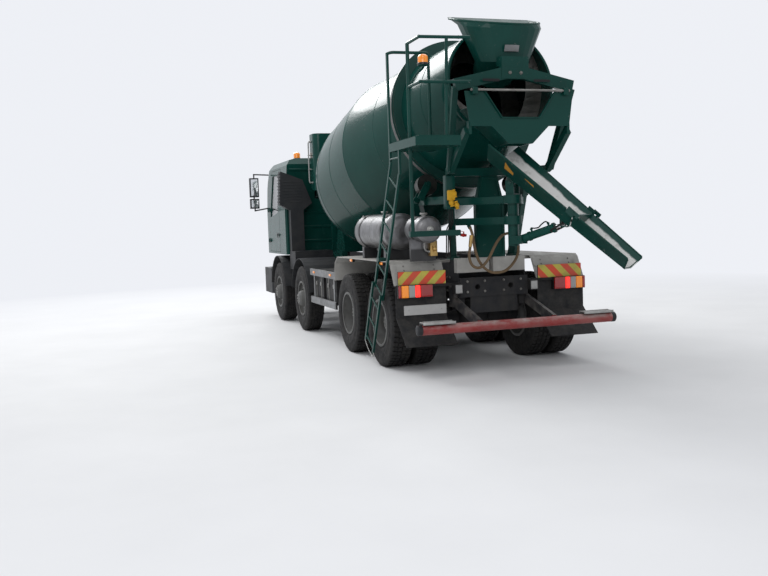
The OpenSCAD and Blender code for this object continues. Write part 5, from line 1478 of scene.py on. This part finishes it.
class MIXER_OT_cab_sides(bpy.types.Operator):
    """Makes the door handles and glass, the duct's louvres and the cab's rear ribs"""

    bl_idname = "mixer.cab_sides"
    bl_label = "Cab sides"

    def execute(self, context):
        # Rear edge and outer face of a door, and the height of its handle
        rear_x, face, pull_z = 6.09, 1.15, 1.565
        for side, out in SIDES.items():
            handle = Form()
            rows = [(0, -0.002), (0, 0.003), (0.003, 0.005), (0.006, 0.004), (0.01, -0.0005)]
            handle.stepped((rear_x + 0.13, out * face, 1.56), (0.09, 0.04), 0.03, rows, outward(out), 0)
            bend = ((0.06, 0.003), (0.072, 0.026), (0.13, 0.032), (0.188, 0.026), (0.2, 0.003))
            pull = [(rear_x + dx, out * (face + dy), pull_z) for dx, dy in bend]
            handle.swept(smooth_path(pull, 20), [(-0.005, -0.013), (0.005, -0.013), (0.007, 0),
                (0.005, 0.013), (-0.005, 0.013)], (0, 0, 1), mat=1)
            handle.turned([(0.012, -0.002), (0.012, 0.003), (0.009, 0.005), (0.003, 0.005)],
                (rear_x + 0.225, out * (face + 0.001), 1.53), (0, out, 0), 16, mat=1)
            piece(f"door_handle_{side}", handle, "plastic black_gloss", f"door_{side}")

            pane = Form()
            z = np.linspace(0, 1, 9)[:, None]
            x = np.linspace(0, 1, 7)[None]
            low = (1.98 - 0.08 * x) - 0.01
            zz = low + (2.675 - low) * z
            ahead = np.interp(zz, [1.9, 2.67], [6.915, 6.845])
            xx = rear_x + 0.085 + (ahead - rear_x - 0.085) * x
            outer = points_at(xx, out * (face - 0.016 - 0.06 * np.clip((zz - 2.0) / 0.8, 0, 1)), zz)
            pane.sheet(outer, outer - (0, out * 0.006, 0))
            piece(f"door_glass_{side}", pane, "glass", f"door_{side}")

            louvres = Form()
            slat = [(-0.012, -0.016), (-0.004, -0.018), (0.016, 0.004), (0.018, 0.012), (0.01, 0.014),
                (-0.012, -0.004)]
            for t in np.linspace(0.08, 0.92, 10):
                y, z = 1.28 - 0.03 * t, 2.1 + 0.58 * t
                path = [(x, out * (y + 0.002), z) for x in (5.338, 5.415, 5.492)]
                louvres.swept(path if out > 0 else path[::-1], [(-s, r) for s, r in slat], (0, 0, 1))
            y = np.linspace(0.88, 1.24, 9)
            for t in np.linspace(0.1, 0.9, 8):
                z = 2.1 + 0.45 * t
                louvres.swept(points_at(5.328, out * y, z),
                    [(-0.004, -0.008), (0.004, -0.008), (0.006, 0.006), (-0.002, 0.008)], (0, 0, 1))
            piece(f"duct_louvres_{side}", louvres, "plastic", "chassis")

        ribs = Form()
        for z in (1.45, 1.7, 1.95, 2.72):
            y = np.linspace(-1.05, 1.05, 9)
            section = [(-0.014 * math.sin(t), 0.026 * math.cos(t)) for t in np.linspace(0, math.pi, 7)]
            ribs.swept(points_at(5.53, y, z), section, (0, 0, 1))
        piece("cab_ribs", ribs, "green", "cab")
        return {"FINISHED"}


class MIXER_OT_frame_fittings(bpy.types.Operator):
    """Makes the bolts of the rails and rear cross beam, and the straps of the boxes"""

    bl_idname = "mixer.frame_fittings"
    bl_label = "Frame fittings"

    def execute(self, context):
        bolts = Form()
        along = (-0.42, -0.33, 0.27, 0.36, 1.0, 2.05, 2.95, 3.6, 3.75)
        for out in (-1, 1):
            places = [(x, out * (FRAME_HALF + 0.0004), z) for x in along for z in (1.06, 0.9)]
            bolts.stamped(nut(0.013, 0.014), places, (0, out, 0))
        ends = [(-0.7104, y, z) for y in (-0.34, -0.12, 0.12, 0.34) for z in (0.9, 1.02)]
        bolts.stamped(nut(0.013, 0.014), ends, (-1, 0, 0))
        piece("frame_bolts", bolts, "steel", "chassis")

        straps = Form()
        flat = [(-0.018, -0.0015), (0.018, -0.0015), (0.018, 0.0015), (-0.018, 0.0015)]
        for out in (-1, 1):
            for x0, x1 in ((2.16, 2.78), (2.94, 3.48)):
                for t in (0.25, 0.75):
                    x = x0 + t * (x1 - x0)
                    path = [(x, out * y, z) for y, z in ((1.1412, 0.6), (1.1425, 0.8), (1.1412, 1.03))]
                    straps.swept(path, flat, (0, out, 0))
                    buckle = np.array([x, out * 1.147, 0.83])
                    straps.block(buckle - (0.022, 0.009, 0.03), buckle + (0.022, 0.009, 0.03), 0.003, mat=1)
        piece("box_straps", straps, "steel zinc", "chassis")
        return {"FINISHED"}


OPERATORS = [
    MIXER_OT_stage, MIXER_OT_hose, MIXER_OT_finishes, MIXER_OT_tyres, MIXER_OT_wheel_nuts,
    MIXER_OT_rear_lamps, MIXER_OT_underrun, MIXER_OT_guard_fittings, MIXER_OT_chute, MIXER_OT_cylinder,
    MIXER_OT_funnel, MIXER_OT_valves, MIXER_OT_drum_fittings, MIXER_OT_access, MIXER_OT_tank_fittings,
    MIXER_OT_brakes, MIXER_OT_cab_front, MIXER_OT_cab_sides, MIXER_OT_frame_fittings,
]


class MIXER_PT_panel(bpy.types.Panel):
    """Sizes, colours and steps of the mixer truck"""

    bl_idname = "MIXER_PT_panel"
    bl_label = "Concrete mixer truck"
    bl_space_type = "VIEW_3D"
    bl_region_type = "UI"
    bl_category = "Mixer"

    def draw(self, context):
        for group in (context.scene.mixer_colours, context.scene.mixer_sizes):
            for key in group.__annotations__:
                self.layout.prop(group, key)
        for op in OPERATORS:
            self.layout.operator(op.bl_idname)


CLASSES = [MixerColours, MixerSizes, *OPERATORS, MIXER_PT_panel]


def register():
    for cls in CLASSES:
        bpy.utils.register_class(cls)
    bpy.types.Scene.mixer_colours = PointerProperty(type=MixerColours)
    bpy.types.Scene.mixer_sizes = PointerProperty(type=MixerSizes)


def unregister():
    del bpy.types.Scene.mixer_sizes
    del bpy.types.Scene.mixer_colours
    for cls in reversed(CLASSES):
        bpy.utils.unregister_class(cls)


def main():
    register()
    for op in OPERATORS:
        getattr(bpy.ops.mixer, op.bl_idname.split(".")[1])()
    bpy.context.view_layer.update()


if __name__ == "__main__":
    main()
